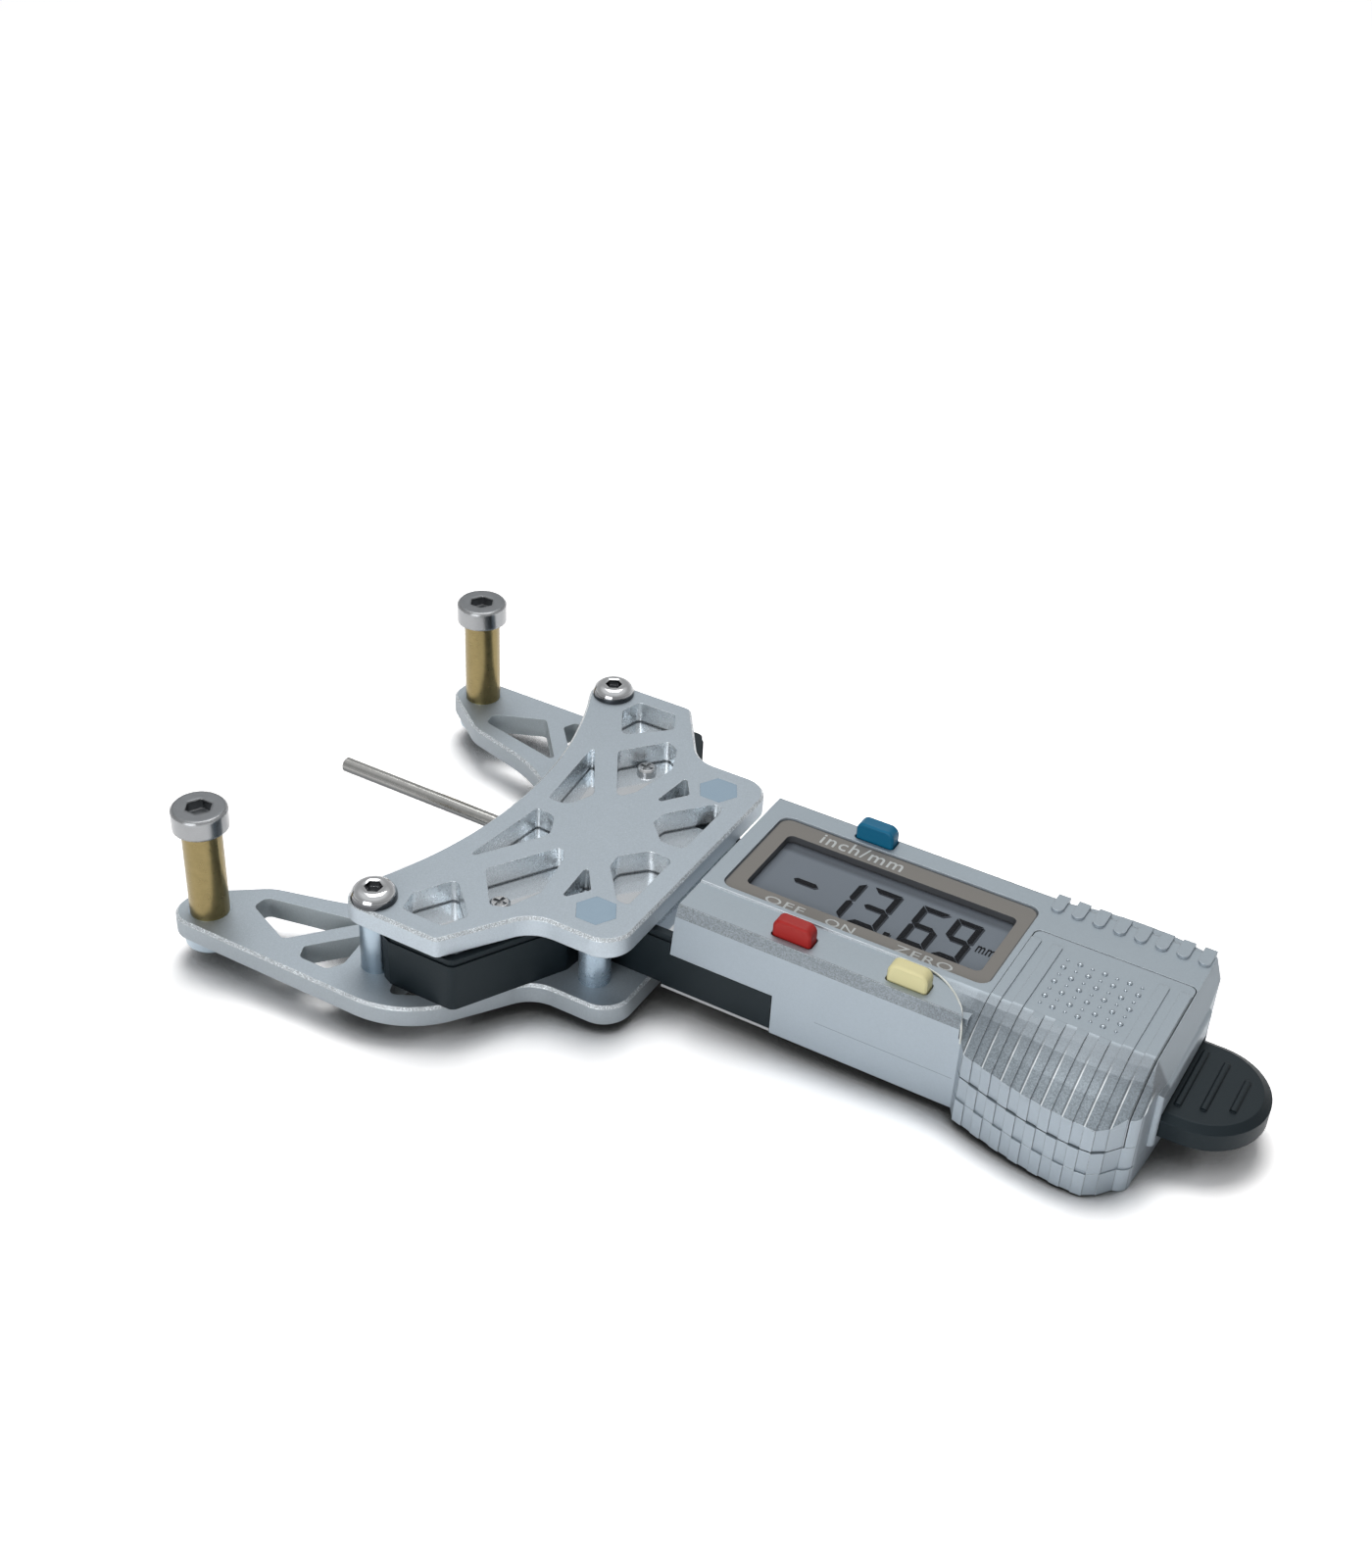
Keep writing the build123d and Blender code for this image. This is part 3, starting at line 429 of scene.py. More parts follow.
@dataclass(frozen=True)
class BlastedPlate(Finish):
    """Bead-blasted, clear-anodised plate: walls tinted with painted light, painted highlights on arrises
    and shiny pocket walls.

    The masks lie alike on both sides of the middle plane. The cuts in the arms lie beyond cut_line and
    inside the corner's line. The pocket walls lie outside the front arc and inside the wing's line, and
    painted shade darkens them towards the top plate's underside over two heights. The first and last of
    these lines are given by one of their points and their lean. Grain, cloud, patch and sparkle are sizes
    of texture.
    """

    name: str = "blasted_plate"
    tint: Colour = srgb(160, 170, 178)
    # wall and low_wall are painted light: the upper and lower walls get tints of their own for how light
    # falls on them.
    wall: Colour = srgb(190, 200, 208)
    low_wall: Colour = srgb(158, 166, 172)
    cut: Colour = srgb(176, 184, 188)
    shiny: Colour = srgb(230, 236, 240)
    # A painted highlight colour for the chamfers and arrises.
    painted_highlight: Colour = srgb(236, 242, 246)
    grain: float = 0.16
    cloud: float = 6.0
    patch: float = 0.55
    sparkle: float = 0.09
    arm_top: float = 1.0
    cut_line: tuple[float, float, float] = (17.3, 27.0, 0.268)
    cut_to: float = 31.6
    cut_ends: tuple[float, float] = (4.0, 35.0)
    corner: tuple[float, float] = (59.6, 0.9)
    front_at: float = -30.7
    front_radius: float = 58.3
    rear_cut: float = 51.5
    wing: tuple[float, float, float] = (33.9, 29.0, 0.671)
    wing_from: float = 17.0
    wing_to: float = 28.2
    # Heights over the top plate's underside within which painted shade darkens the pocket walls.
    foot_shade_near: tuple[float, float] = (0.05, 0.35)
    foot_shade_far: tuple[float, float] = (0.2, 2.2)
    edge: float = 0.1

    def arm_cuts(self, x: Value, across: Value) -> Value:
        """Find the cuts in the lower plate's arms.

        Args:
            x: The place along the gauge.
            across: The distance from its middle plane.

        Returns:
            One in the cuts, else nought.
        """
        start, at, lean = self.cut_line
        inside = (across > (at - x) * lean + start) * (across < self.cut_to)
        end, lean = self.corner
        first, last = self.cut_ends
        return inside * (x + across * lean < end) * (x > first) * (x < last)

    def pockets(self, x: Value, across: Value) -> Value:
        """Find the pockets of the top plate.

        Args:
            x: The place along the gauge.
            across: The distance from its middle plane.

        Returns:
            One in the pockets, else nought.
        """
        start, at, lean = self.wing
        clear = ((x < (at - across) * lean + start) + (across < self.wing_from)).held()
        beyond = (x - self.front_at).hypot(across) > self.front_radius
        return clear * beyond * (x < self.rear_cut) * (across < self.wing_to)

    def foot_shade(self, z: Value) -> Value:
        """Paint shade on a pocket wall's foot.

        Args:
            z: The height.

        Returns:
            How much the painted shade darkens the wall there.
        """
        rise = z - bench.low("top_plate").z
        return (1 - rise.ramp(*self.foot_shade_near)) * 0.6 + (1 - rise.ramp(*self.foot_shade_far)) * 0.2

    def wire(self, shader: Shader) -> None:
        """Wire the walls with painted light, the cuts, the pocket walls with painted shade at their foot,
        and painted edge highlights.

        Args:
            shader: The material under construction.
        """
        x, z = shader.axis("X"), shader.axis("Z")
        across = abs(shader.axis("Y"))
        slope = abs(shader.facing("Z"))
        chamfer = (slope > 0.25) * (slope < 0.95)
        side = 1 - slope.ramp(0.1, 0.3)
        upper = z > self.arm_top
        inner = side * self.arm_cuts(x, across) * (z < self.arm_top)
        pocket = side * upper * self.pockets(x, across)
        blast = shader.noise(self.grain, 3.0)
        cloud = shader.noise(self.cloud, 3.0)
        patch = shader.noise(self.patch, 3.0)
        sparkle = shader.flecks(self.sparkle)
        # Painted light: walls take their own tints, apart from the tops.
        face = shader.blend(side, self.tint, shader.blend(upper, self.low_wall, self.wall))
        face = shader.blend(inner, face, self.cut)
        face = shader.blend(pocket, face, self.shiny)
        # Painted highlight: chamfers and outer edges are blended towards a pale glint colour.
        edge = (chamfer * 0.7 + shader.arris(self.edge) * (1 - inner * 0.7) * 0.6).held()
        glint = shader.shade(self.painted_highlight, 0.5 + sparkle.power(2.0))
        tone = 0.8 + cloud * 0.06 + blast * 0.33 + (sparkle > 0.93) * 0.1
        # Painted shade darkens the pocket walls towards their foot; the patch term varies their tone at
        # random.
        tone = tone * (1 - pocket * (0.05 - patch * 0.1)) * (1 - pocket * self.foot_shade(z))
        shader.set(Base_Color=shader.blend(edge, shader.shade(face, tone), glint),
                   Metallic=0.5 + pocket * 0.4,
                   Roughness=0.52 - edge * 0.24 - pocket * (0.3 - patch * 0.12) + inner * 0.14,
                   Normal=shader.bump(blast, 0.02, shader.rounded(self.edge), 0.4))


@dataclass(frozen=True)
class SilverPaint(Finish):
    """Silver paint over a plastic moulding, its flake showing where the surface tips.

    The masks follow the moulding: the shoulder's band, the throat where it ends, the slope with its ribs
    below the battery door, the joints between the wall's columns, the parting line and the crease. Walls
    get painted light, the band a painted dark reflection, the slope and throat painted shade, the ribs and
    the crease painted highlights with a painted shadow line before each rib, and corners painted shade.
    The columns are counted from columns_before ahead of the first, so that the count stays above nought.
    """

    name: str = "silver_paint"
    tint: Colour = srgb(152, 163, 171)
    # wall is painted light on the upright faces.
    wall: Colour = srgb(166, 177, 186)
    # A painted dark reflection for the shoulder's band.
    band_dark_reflection: Colour = srgb(112, 119, 124)
    # foot is painted shade for the slope below the battery door and the throat.
    foot: Colour = srgb(88, 96, 103)
    # A painted highlight colour for edges, ribs and the crease.
    painted_highlight: Colour = srgb(238, 243, 246)
    flake: float = 0.12
    soft: float = 0.35
    cloud: float = 7.0
    parting: float = 3.9
    parting_half: float = 0.045
    parting_ends: tuple[float, float] = (75.5, 93.0)
    band_y: float = -10.75
    band_low: float = 11.25
    band_end: float = 92.9
    columns_from: float = 94.3
    column: float = 1.3
    columns_before: float = 20.0
    slope_top: float = -6.0
    slope_fall: float = 11.0
    turn_from: float = 105.0
    turn: float = 8.0
    crease: float = -5.72
    crease_half: float = 0.11
    crease_end: float = 86.5
    throat: float = 3.5
    top_level: float = 12.9

    def tipped(self, x: Value, y: Value, up: Value) -> tuple[Value, Value]:
        """Find the slope below the battery door and the throat that the shoulder ends in.

        Args:
            x: The place along the gauge.
            y: The place across it.
            up: How far the surface faces up.

        Returns:
            The slope and the throat, each one within and nought elsewhere.
        """
        below = self.slope_top - y
        leaning = up.ramp(0.12, 0.3) * (1 - up.ramp(0.99, 0.998))
        slope = leaning * (x > self.band_end) * below.ramp(-0.2, 0.6)
        throat = (x - self.crease_end).ramp(0.0, self.throat) * (x < self.band_end + 0.001) * leaning
        return slope, throat * below.ramp(-0.2, 0.8)

    def columns(self, x: Value, y: Value) -> tuple[Value, Value, Value]:
        """Find what repeats along the grip.

        Args:
            x: The place along the gauge.
            y: The place across it.

        Returns:
            The near wall's joints, the slope's ribs and the painted shadow lines beside them, each one
            within and nought elsewhere.
        """
        along = x - self.columns_from
        single = (along / self.column + self.columns_before).part()
        pair = (along / (2 * self.column) + self.columns_before).part()
        joint = (abs(single - 0.5) > 0.468) * (x > self.columns_from - 0.1) * (y < self.slope_top)
        return joint, pair < 0.06, pair > 0.9

    def lines(self, shader: Shader, x: Value, y: Value, z: Value) -> tuple[Value, Value]:
        """Find the near wall's parting line and the painted highlight along the shoulder's crease.

        Args:
            shader: The material under construction.
            x: The place along the gauge.
            y: The place across it.
            z: The height.

        Returns:
            The parting line and the crease's painted highlight, each one within and nought elsewhere.
        """
        start, end = self.parting_ends
        parting = (abs(z - self.parting) < self.parting_half) * (x > start) * (x < end)
        crease = (abs(y - self.crease) < self.crease_half) * (x < self.crease_end) * (z > self.top_level)
        return parting * (shader.facing("Y") < -0.9), crease

    def wire(self, shader: Shader) -> None:
        """Wire the paint, the painted light on the walls, the band's painted dark reflection, the slope's
        painted shade, the painted rib, crease and edge highlights, the painted shadow lines, the joints
        and the painted corner shade.

        Args:
            shader: The material under construction.
        """
        x, y, z = (shader.axis(letter) for letter in "XYZ")
        up = shader.facing("Z")
        upright = 1 - up.ramp(0.12, 0.3)
        band = (y < self.band_y) * (z > self.band_low) * (x < self.band_end) * (1 - upright)
        down = (self.slope_top - y).ramp(0.3, self.slope_fall)
        slope, throat = self.tipped(x, y, up)
        joint, rib, rib_shadow = self.columns(x, y)
        parting, crease = self.lines(shader, x, y, z)
        flake = shader.flecks(self.flake)
        soft = shader.noise(self.soft, 3.0)
        cloud = shader.noise(self.cloud, 2.0)
        show = (band + throat * 0.5 + slope * (0.5 + down * 0.5)).held()
        # Painted light: upright faces take a tint of their own.
        colour = shader.blend(upright, self.tint, self.wall)
        # Painted dark reflection on the shoulder's band.
        colour = shader.blend(band * 0.72, colour, self.band_dark_reflection)
        # Painted shade on the slope and the throat, strongest near the slope's top and towards the rear
        # turn.
        turned = (x - self.turn_from).ramp(0.0, self.turn)
        fall = 0.7 - down.ramp(0.0, 0.75) * 0.4 + turned * 0.12
        colour = shader.blend(((slope + throat * 0.8) * fall).held(), colour, self.foot)
        tone = 0.97 + (flake - 0.5) * (0.06 + show * 0.5) + (soft - 0.5) * 0.06 + (cloud - 0.5) * 0.05
        # Painted highlights on the ribs, with painted shadow lines just before them.
        rib = rib * slope * down.ramp(0.12, 0.5)
        rib_shadow = rib_shadow * slope * down.ramp(0.0, 0.3)
        # Painted shade in corners and joints, from ambient occlusion.
        crevice_shade = 1 - shader.open_air(0.35).ramp(0.25, 0.7)
        for mark, depth in ((parting, 0.42), (joint * upright, 0.34), (rib_shadow, 0.35), (crevice_shade, 0.24)):
            tone = tone * (1 - mark * depth)
        colour = shader.shade(colour, tone)
        # Painted highlights on outer edges, ribs and the crease.
        edge = (shader.arris(0.09) * (0.25 + flake * 0.75) + rib * 0.8 + crease * 0.6).held()
        colour = shader.blend(edge * 0.8, colour, self.painted_highlight)
        shader.set(Base_Color=colour, Metallic=0.45, Roughness=0.46 - show * 0.08 + flake * 0.06,
                   Normal=shader.bump(soft, 0.012, shader.rounded(0.11), 0.4), Coat_Weight=0.15,
                   Coat_Roughness=0.3)


@dataclass(frozen=True)
class DomePaint(Finish):
    """The same paint over the small grip domes, with painted shade on their sides and a painted highlight
    at their tops.
    """

    name: str = "dome_paint"
    # low is the painted shade on the domes' sides, high the painted highlight at their tops.
    low: Colour = srgb(138, 148, 156)
    high: Colour = srgb(176, 186, 194)

    def wire(self, shader: Shader) -> None:
        """Wire the domes, with painted shade on their sides and a painted highlight at their tops.

        Args:
            shader: The material under construction.
        """
        flake = shader.flecks(0.07)
        lit_crown = shader.facing("Z").ramp(0.45, 0.98)
        shader.set(Base_Color=shader.shade(shader.blend(lit_crown, self.low, self.high), 0.9 + flake * 0.15),
                   Metallic=0.5, Roughness=0.22 + flake * 0.08)


@dataclass(frozen=True)
class BlackMoulding(Finish):
    """Black plastic with the fine grain of an eroded mould, its gloss a cool one."""

    name: str = "black_moulding"
    tint: Colour = srgb(9, 16, 20)
    gloss: Colour = (0.72, 0.9, 1.0, 1.0)
    grain: float = 0.22
    round_edge: float = 0.14

    def wire(self, shader: Shader) -> None:
        """Wire the grain.

        Args:
            shader: The material under construction.
        """
        grain = shader.noise(self.grain, 4.0)
        cloud = shader.noise(5.0, 2.0)
        shader.set(Base_Color=shader.shade(self.tint, 0.85 + grain * 0.2 + cloud * 0.1),
                   Roughness=0.4 + grain * 0.14, Specular_IOR_Level=0.3, Specular_Tint=self.gloss,
                   Normal=shader.bump(grain, 0.02, shader.rounded(self.round_edge), 0.35))


@dataclass(frozen=True)
class PolishedSheet(Finish):
    """Mirror-polished sheet with the faint waves of rolled stock."""

    name: str = "polished_sheet"
    tint: Colour = srgb(228, 232, 236)

    def wire(self, shader: Shader) -> None:
        """Wire the waves and smears.

        Args:
            shader: The material under construction.
        """
        wave = shader.noise(4.0, 1.0, (3.0, 1.0, 1.0))
        smear = shader.noise(1.5, 3.0)
        shader.set(Base_Color=shader.shade(self.tint, 0.97 + smear * 0.05), Metallic=1.0,
                   Roughness=0.07 + smear * 0.05, Normal=shader.bump(wave, 0.01, None, 0.12))


@dataclass(frozen=True)
class TurnedMetal(Finish):
    """Turned steel or brass, its tool marks running round each post or rod.

    A post stands at centre_x, centre_half to each side, and a rod lies along the gauge. Marks are counted
    to a millimetre. A tint for the lower sides, where it has one, is painted shade that fades into the
    main tint as the surface turns up, and a top tint is painted shade on flat faces above top_from.
    """

    name: str
    tint: Colour
    roughness: float = 0.28
    centre_x: float = 0.0
    centre_half: float = 30.0
    along: bool = False
    marks: float = 9.0
    spots: float = 0.08
    metallic: float = 1.0
    # top is a painted shade tint for flat faces above top_from.
    top: Optional[Colour] = None
    top_from: float = 0.0
    top_roughness: float = 0.45
    # A painted shade tint for the lower sides.
    flank_shade: Optional[Colour] = None
    flank_span: tuple[float, float] = (-0.3, 0.5)
    round_edge: float = 0.1

    def tool_marks(self, shader: Shader) -> Value:
        """Draw the tool marks: round a rod, or round a post's walls and as rings on its flat faces.

        Args:
            shader: The material under construction.

        Returns:
            The marks, about 0.5.
        """
        if self.along:
            return shader.noise(0.16, 2.0, (0.35, 6.0, 6.0))
        radius = shader.axis("X", self.centre_x).hypot(abs(shader.axis("Y")) - self.centre_half)
        flat = abs(shader.facing("Z")) > 0.7
        reach = radius * flat + shader.axis("Z") * (1 - flat)
        point = shader.node("ShaderNodeCombineXYZ", inputs={0: reach * self.marks, 1: 0.0, 2: 0.0})
        fine = shader.node("ShaderNodeTexNoise", inputs={"Vector": point.outputs[0], "Scale": 1.0})
        return Value(shader, fine.outputs[0])

    def wire(self, shader: Shader) -> None:
        """Wire the tool marks, stains, and the painted shade on the lower sides and flat tops.

        Args:
            shader: The material under construction.
        """
        marks = self.tool_marks(shader)
        stain = shader.noise(0.9, 4.0)
        tone = 1.0 + (marks - 0.5) * 0.25 + (stain - 0.5) * 2 * self.spots
        roughness = self.roughness + (stain - 0.5) * 0.14 + (marks - 0.5) * 0.1
        colour = self.tint
        # Painted shade on the lower sides, fading out as the surface turns up.
        if self.flank_shade:
            colour = shader.blend(shader.facing("Z").ramp(*self.flank_span), self.flank_shade, self.tint)
        # Painted shade on the flat tops.
        if self.top:
            level = shader.facing("Z").ramp(0.7, 0.9) * (shader.axis("Z") > self.top_from)
            colour = shader.blend(level, self.tint, self.top)
            roughness = roughness + level * (self.top_roughness - self.roughness)
        shader.set(Base_Color=shader.shade(colour, tone), Metallic=self.metallic, Roughness=roughness,
                   Normal=shader.bump(marks, 0.012, shader.rounded(self.round_edge), 0.3))


@dataclass(frozen=True)
class KeyCap(Finish):
    """A satin key cap in one plain colour, with painted light making it a little lighter where it faces
    up.
    """

    name: str
    tint: Colour

    def wire(self, shader: Shader) -> None:
        """Wire the cap and the painted light on its top.

        Args:
            shader: The material under construction.
        """
        grain = shader.noise(0.12, 3.0)
        # Painted light: faces that look up are made a little lighter.
        lit_crown = shader.facing("Z").ramp(0.3, 1.0)
        shader.set(Base_Color=shader.shade(self.tint, 0.9 + lit_crown * 0.1 + (grain - 0.5) * 0.06),
                   Roughness=0.42 + grain * 0.1, Specular_IOR_Level=0.35,
                   Normal=shader.bump(grain, 0.008, shader.rounded(0.25), 0.3))


@dataclass(frozen=True)
class PrintedBezel(Finish):
    """The bezel's warm grey print, with painted shade on its walls and a painted shade line round its top.
    Its flange runs along three sides.
    """

    name: str = "printed_bezel"
    tint: Colour = srgb(128, 125, 120)
    # rim is the painted shade on the walls and along the top's outer edge.
    rim: Colour = srgb(78, 80, 83)
    flange: float = 0.6
    corner: float = 1.5
    line: float = 0.22

    def wire(self, shader: Shader) -> None:
        """Wire the print and the painted shade on the walls and round its top.

        Args:
            shader: The material under construction.
        """
        low, high = bench.low("window_bezel"), bench.high("window_bezel")
        half = ((high.x - low.x - self.flange) / 2, (high.y - low.y - 2 * self.flange) / 2)
        centre = (low.x + self.flange + half[0], (low.y + high.y) / 2)
        past = [(abs(shader.axis(letter, centre[at])) - (half[at] - self.corner)).most(0.0)
                for at, letter in enumerate("XY")]
        inward = self.corner - past[0].hypot(past[1])
        # Painted shade: faces that don't look up, and a thin line along the top's outer edge, take the rim
        # colour.
        top = shader.facing("Z").ramp(0.5, 0.9) * (1 - (inward < self.line) * 0.85)
        grain = shader.noise(0.08, 2.0)
        plain = shader.shade(self.tint, 0.95 + grain * 0.1)
        shader.set(Base_Color=shader.blend(top, self.rim, plain), Roughness=0.34 + grain * 0.08,
                   Normal=shader.bump(grain, 0.004, shader.rounded(0.12), 0.2))


@dataclass(frozen=True)
class DisplayGround(Finish):
    """The display's blue-grey ground, shaded under its window's far and left edges."""

    name: str = "display_ground"
    tint: Colour = srgb(138, 147, 157)
    shadow: Colour = srgb(88, 94, 102)
    left: float = 60.9
    far: float = 8.75

    def wire(self, shader: Shader) -> None:
        """Wire the ground and the shade along two edges.

        Args:
            shader: The material under construction.
        """
        near_left = 1 - (shader.axis("X") - self.left).ramp(0.1, 1.5)
        near_far = 1 - (self.far - shader.axis("Y")).ramp(1.3, 2.3)
        edge = (near_left * 0.5 + near_far * 0.7).held()
        grain = shader.noise(0.09, 3.0)
        cloud = shader.noise(9.0, 1.0)
        plain = shader.shade(self.tint, 0.93 + grain * 0.08 + cloud * 0.06)
        shader.set(Base_Color=shader.blend(edge, plain, self.shadow), Roughness=0.6 + grain * 0.06,
                   Specular_IOR_Level=0.1)


@dataclass(frozen=True)
class Ink(Finish):
    """A thin even print, such as a digit or a legend."""

    name: str
    tint: Colour
    roughness: float = 0.45

    def wire(self, shader: Shader) -> None:
        """Wire the print.

        Args:
            shader: The material under construction.
        """
        grain = shader.noise(0.1, 2.0)
        shader.set(Base_Color=shader.shade(self.tint, 0.94 + grain * 0.12), Specular_IOR_Level=0.1,
                   Roughness=self.roughness + (grain - 0.5) * 0.1)


@dataclass(frozen=True)
class ClearWindow(Finish):
    """The clear lens on the display."""

    name: str = "clear_window"
    body: float = 0.05

    def wire(self, shader: Shader) -> None:
        """Wire the clear body with its dust.

        Args:
            shader: The material under construction.
        """
        dust = shader.noise(0.5, 3.0)
        shader.set(Base_Color=(0.02, 0.02, 0.02, 1.0), Roughness=0.05 + dust * 0.03, IOR=1.45,
                   Alpha=self.body)


@dataclass(frozen=True)
class PlainPart(Finish):
    """A small inner part: one colour with grain and a rounded edge."""

    name: str
    tint: Colour
    roughness: float = 0.5
    metallic: float = 0.0
    grain: float = 0.3

    def wire(self, shader: Shader) -> None:
        """Wire the colour and its grain.

        Args:
            shader: The material under construction.
        """
        grain = shader.noise(self.grain, 3.0)
        shader.set(Base_Color=shader.shade(self.tint, 0.88 + grain * 0.24), Metallic=self.metallic,
                   Roughness=self.roughness + (grain - 0.5) * 0.15,
                   Normal=shader.bump(grain, 0.01, shader.rounded(0.08), 0.25))


class Pieces:
    """Makes and hands over meshes that are drawn in measured millimetres.

    Faces that meet at more than bend, in degrees, keep a sharp edge, and corners nearer than weld are
    merged. Letter_space spaces the words' letters, where one is the font's own spacing, and
    letter_weight thickens them, for letters of size one.
    """

    bend: float = 35.0
    weld: float = 1e-5
    letter_space: float = 1.12
    letter_weight: float = 0.006

    @staticmethod
    def add(name: str, mesh: bpy.types.Mesh, material: bpy.types.Material, body: Body,
            slot: Optional[str] = None, smooth: bool = True) -> bpy.types.Object:
        """Put a mesh on the gauge.

        Args:
            name: The piece's name.
            mesh: Its mesh in measured millimetres.
            material: Its finish.
            body: The body that it rides on.
            slot: Not used.
            smooth: Whether gently bent faces are shaded smooth.

        Returns:
            The finished object.
        """
        mesh.transform(bench.matrix())
        piece = bpy.data.objects.new(name, mesh)
        bpy.context.scene.collection.objects.link(piece)
        mesh.materials.clear()
        mesh.materials.append(material)
        if smooth:
            mesh.shade_smooth()
            mesh.set_sharp_from_angle(angle=math.radians(Pieces.bend))
        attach(piece, body.value)
        log.info("made %s with %d faces", name, len(mesh.polygons))
        return piece

    @staticmethod
    def from_bmesh(name: str, build: Callable[[bmesh.types.BMesh], None]) -> bpy.types.Mesh:
        """Run a builder on an empty bmesh and turn the faces outward.

        Args:
            name: The mesh's name.
            build: Adds the faces.

        Returns:
            The mesh in measured millimetres.
        """
        work = bmesh.new()
        build(work)
        bmesh.ops.remove_doubles(work, verts=work.verts, dist=Pieces.weld)
        bmesh.ops.recalc_face_normals(work, faces=work.faces)
        mesh = bpy.data.meshes.new(name)
        work.to_mesh(mesh)
        work.free()
        return mesh

    @staticmethod
    def from_curve(curve: bpy.types.Curve) -> bpy.types.Mesh:
        """Turn a curve or a text into a plain mesh.

        Args:
            curve: The curve.

        Returns:
            The mesh, in the curve's own units.
        """
        carrier = bpy.data.objects.new(curve.name, curve)
        bpy.context.scene.collection.objects.link(carrier)
        bpy.context.view_layer.update()
        mesh = bpy.data.meshes.new_from_object(carrier)
        bpy.data.objects.remove(carrier)
        return mesh

    @staticmethod
    def prism(work: bmesh.types.BMesh, outline: Sequence[Flat], low: float, high: float) -> None:
        """Add an upright prism.

        Args:
            work: The bmesh that it is added to.
            outline: Its outline in X and Y.
            low: The height of its foot.
            high: The height of its top.
        """
        bottom = [work.verts.new((x, y, low)) for x, y in outline]
        top = [work.verts.new((x, y, high)) for x, y in outline]
        work.faces.new(list(reversed(bottom)))
        work.faces.new(top)
        for index in range(len(outline)):
            following = (index + 1) % len(outline)
            work.faces.new((bottom[index], bottom[following], top[following], top[index]))

    @staticmethod
    def lettering(text: str, left: float, right: float, low: float, high: float, base: float,
                  thick: float) -> bpy.types.Mesh:
        """Set a generic word between four edges.

        Args:
            text: The word.
            left: Its left edge.
            right: Its right edge.
            low: The foot of its capitals.
            high: The top of its capitals.
            base: The height that it lies on.
            thick: How thick it is.

        Returns:
            The mesh in measured millimetres.
        """
        curve = bpy.data.curves.new("lettering", "FONT")
        curve.body = text
        curve.size = 1.0
        curve.space_character = Pieces.letter_space
        curve.offset = Pieces.letter_weight
        curve.extrude = 0.5
        curve.resolution_u = 3
        mesh = Pieces.from_curve(curve)
        xs = [vertex.co.x for vertex in mesh.vertices]
        ys = [vertex.co.y for vertex in mesh.vertices]
        wide = (right - left) / (max(xs) - min(xs))
        tall = (high - low) / (max(ys) - min(ys))
        for vertex in mesh.vertices:
            vertex.co.x = left + (vertex.co.x - min(xs)) * wide
            vertex.co.y = low + (vertex.co.y - min(ys)) * tall
            vertex.co.z = base + (thick if vertex.co.z > 0 else 0.0)
        return mesh


@dataclass
class Finishes:
    """Every carried-over solid's finish."""

    front_screw: tuple[float, float] = (23.96, 27.15)

    def dress(self) -> None:
        """Build the materials and hand them to the solids."""
        steel = srgb(170, 172, 174)
        plans: list[tuple[Any, Iterable[str]]] = [
            (BlastedPlate(), ("top_plate", "lower_plate")),
            (SilverPaint(), ("display_housing", "battery_door")),
            (BlackMoulding(), ("base_body", "base_lid", "thumb_tab", "battery_tray")),
            (PolishedSheet(), ("base_cover",)),
            (TurnedMetal("turned_brass", srgb(138, 124, 86), 0.3, spots=0.16), ("post_sleeves",)),
            # The top tints here and the lower-side tint of rod_steel are painted shade.
            (TurnedMetal("head_steel", srgb(152, 154, 156), 0.2, top=srgb(116, 119, 122), top_from=14.0,
                         round_edge=0.45), ("post_screws",)),
            (TurnedMetal("cover_head_steel", steel, 0.3, 35.3, 17.3), ("cover_screws",)),
            (TurnedMetal("zinc_front", srgb(165, 180, 192), 0.3, *self.front_screw), ("front_standoffs",)),
            (TurnedMetal("zinc_rear", srgb(165, 182, 196), 0.28, 47.5, 14.9, spots=0.03, metallic=0.75,
                         top=srgb(135, 153, 167), top_from=10.0, top_roughness=0.6),
             ("rear_standoffs", "rear_screws")),
            (TurnedMetal("zinc_insert", srgb(165, 178, 188), 0.34), ("post_inserts",)),
            (TurnedMetal("rod_steel", srgb(160, 160, 158), 0.2, along=True, flank_shade=srgb(84, 86, 88)),
             ("probe_rod", "slide_bar", "tab_pin", "back_screws")),
            (TurnedMetal("bush_brass", srgb(180, 158, 108), 0.3, along=True), ("probe_bush",)),
            (PrintedBezel(), ("window_bezel",)),
            (DisplayGround(), ("display_panel",)),
            (ClearWindow(), ("window_lens",)),
            (KeyCap("blue_cap", srgb(0, 108, 146)), ("unit_button",)),
            (KeyCap("red_cap", srgb(176, 36, 32)), ("power_button",)),
            (KeyCap("yellow_cap", srgb(244, 236, 182)), ("zero_button",)),
            (PlainPart("circuit_green", srgb(24, 92, 58), 0.35), ("circuit_board",)),
            (PlainPart("grey_elastomer", srgb(70, 72, 74), 0.7), ("elastomer_strips", "key_pads")),
            (PlainPart("cell_nickel", srgb(196, 196, 194), 0.25, 1.0, 0.6),
             ("battery_cell", "battery_contacts")),
            (PlainPart("back_sheet", srgb(176, 178, 180), 0.45, 0.2), ("back_plate",)),
            (PlainPart("scale_white", srgb(214, 214, 208), 0.5), ("scale_strip",)),
        ]
        for finish, nodes in plans:
            material = finish.build()
            for name in nodes:
                solid = frame["nodes"][name]
                solid.data.materials.clear()
                solid.data.materials.append(material)
                log.info("dressed %s in %s", name, material.name)


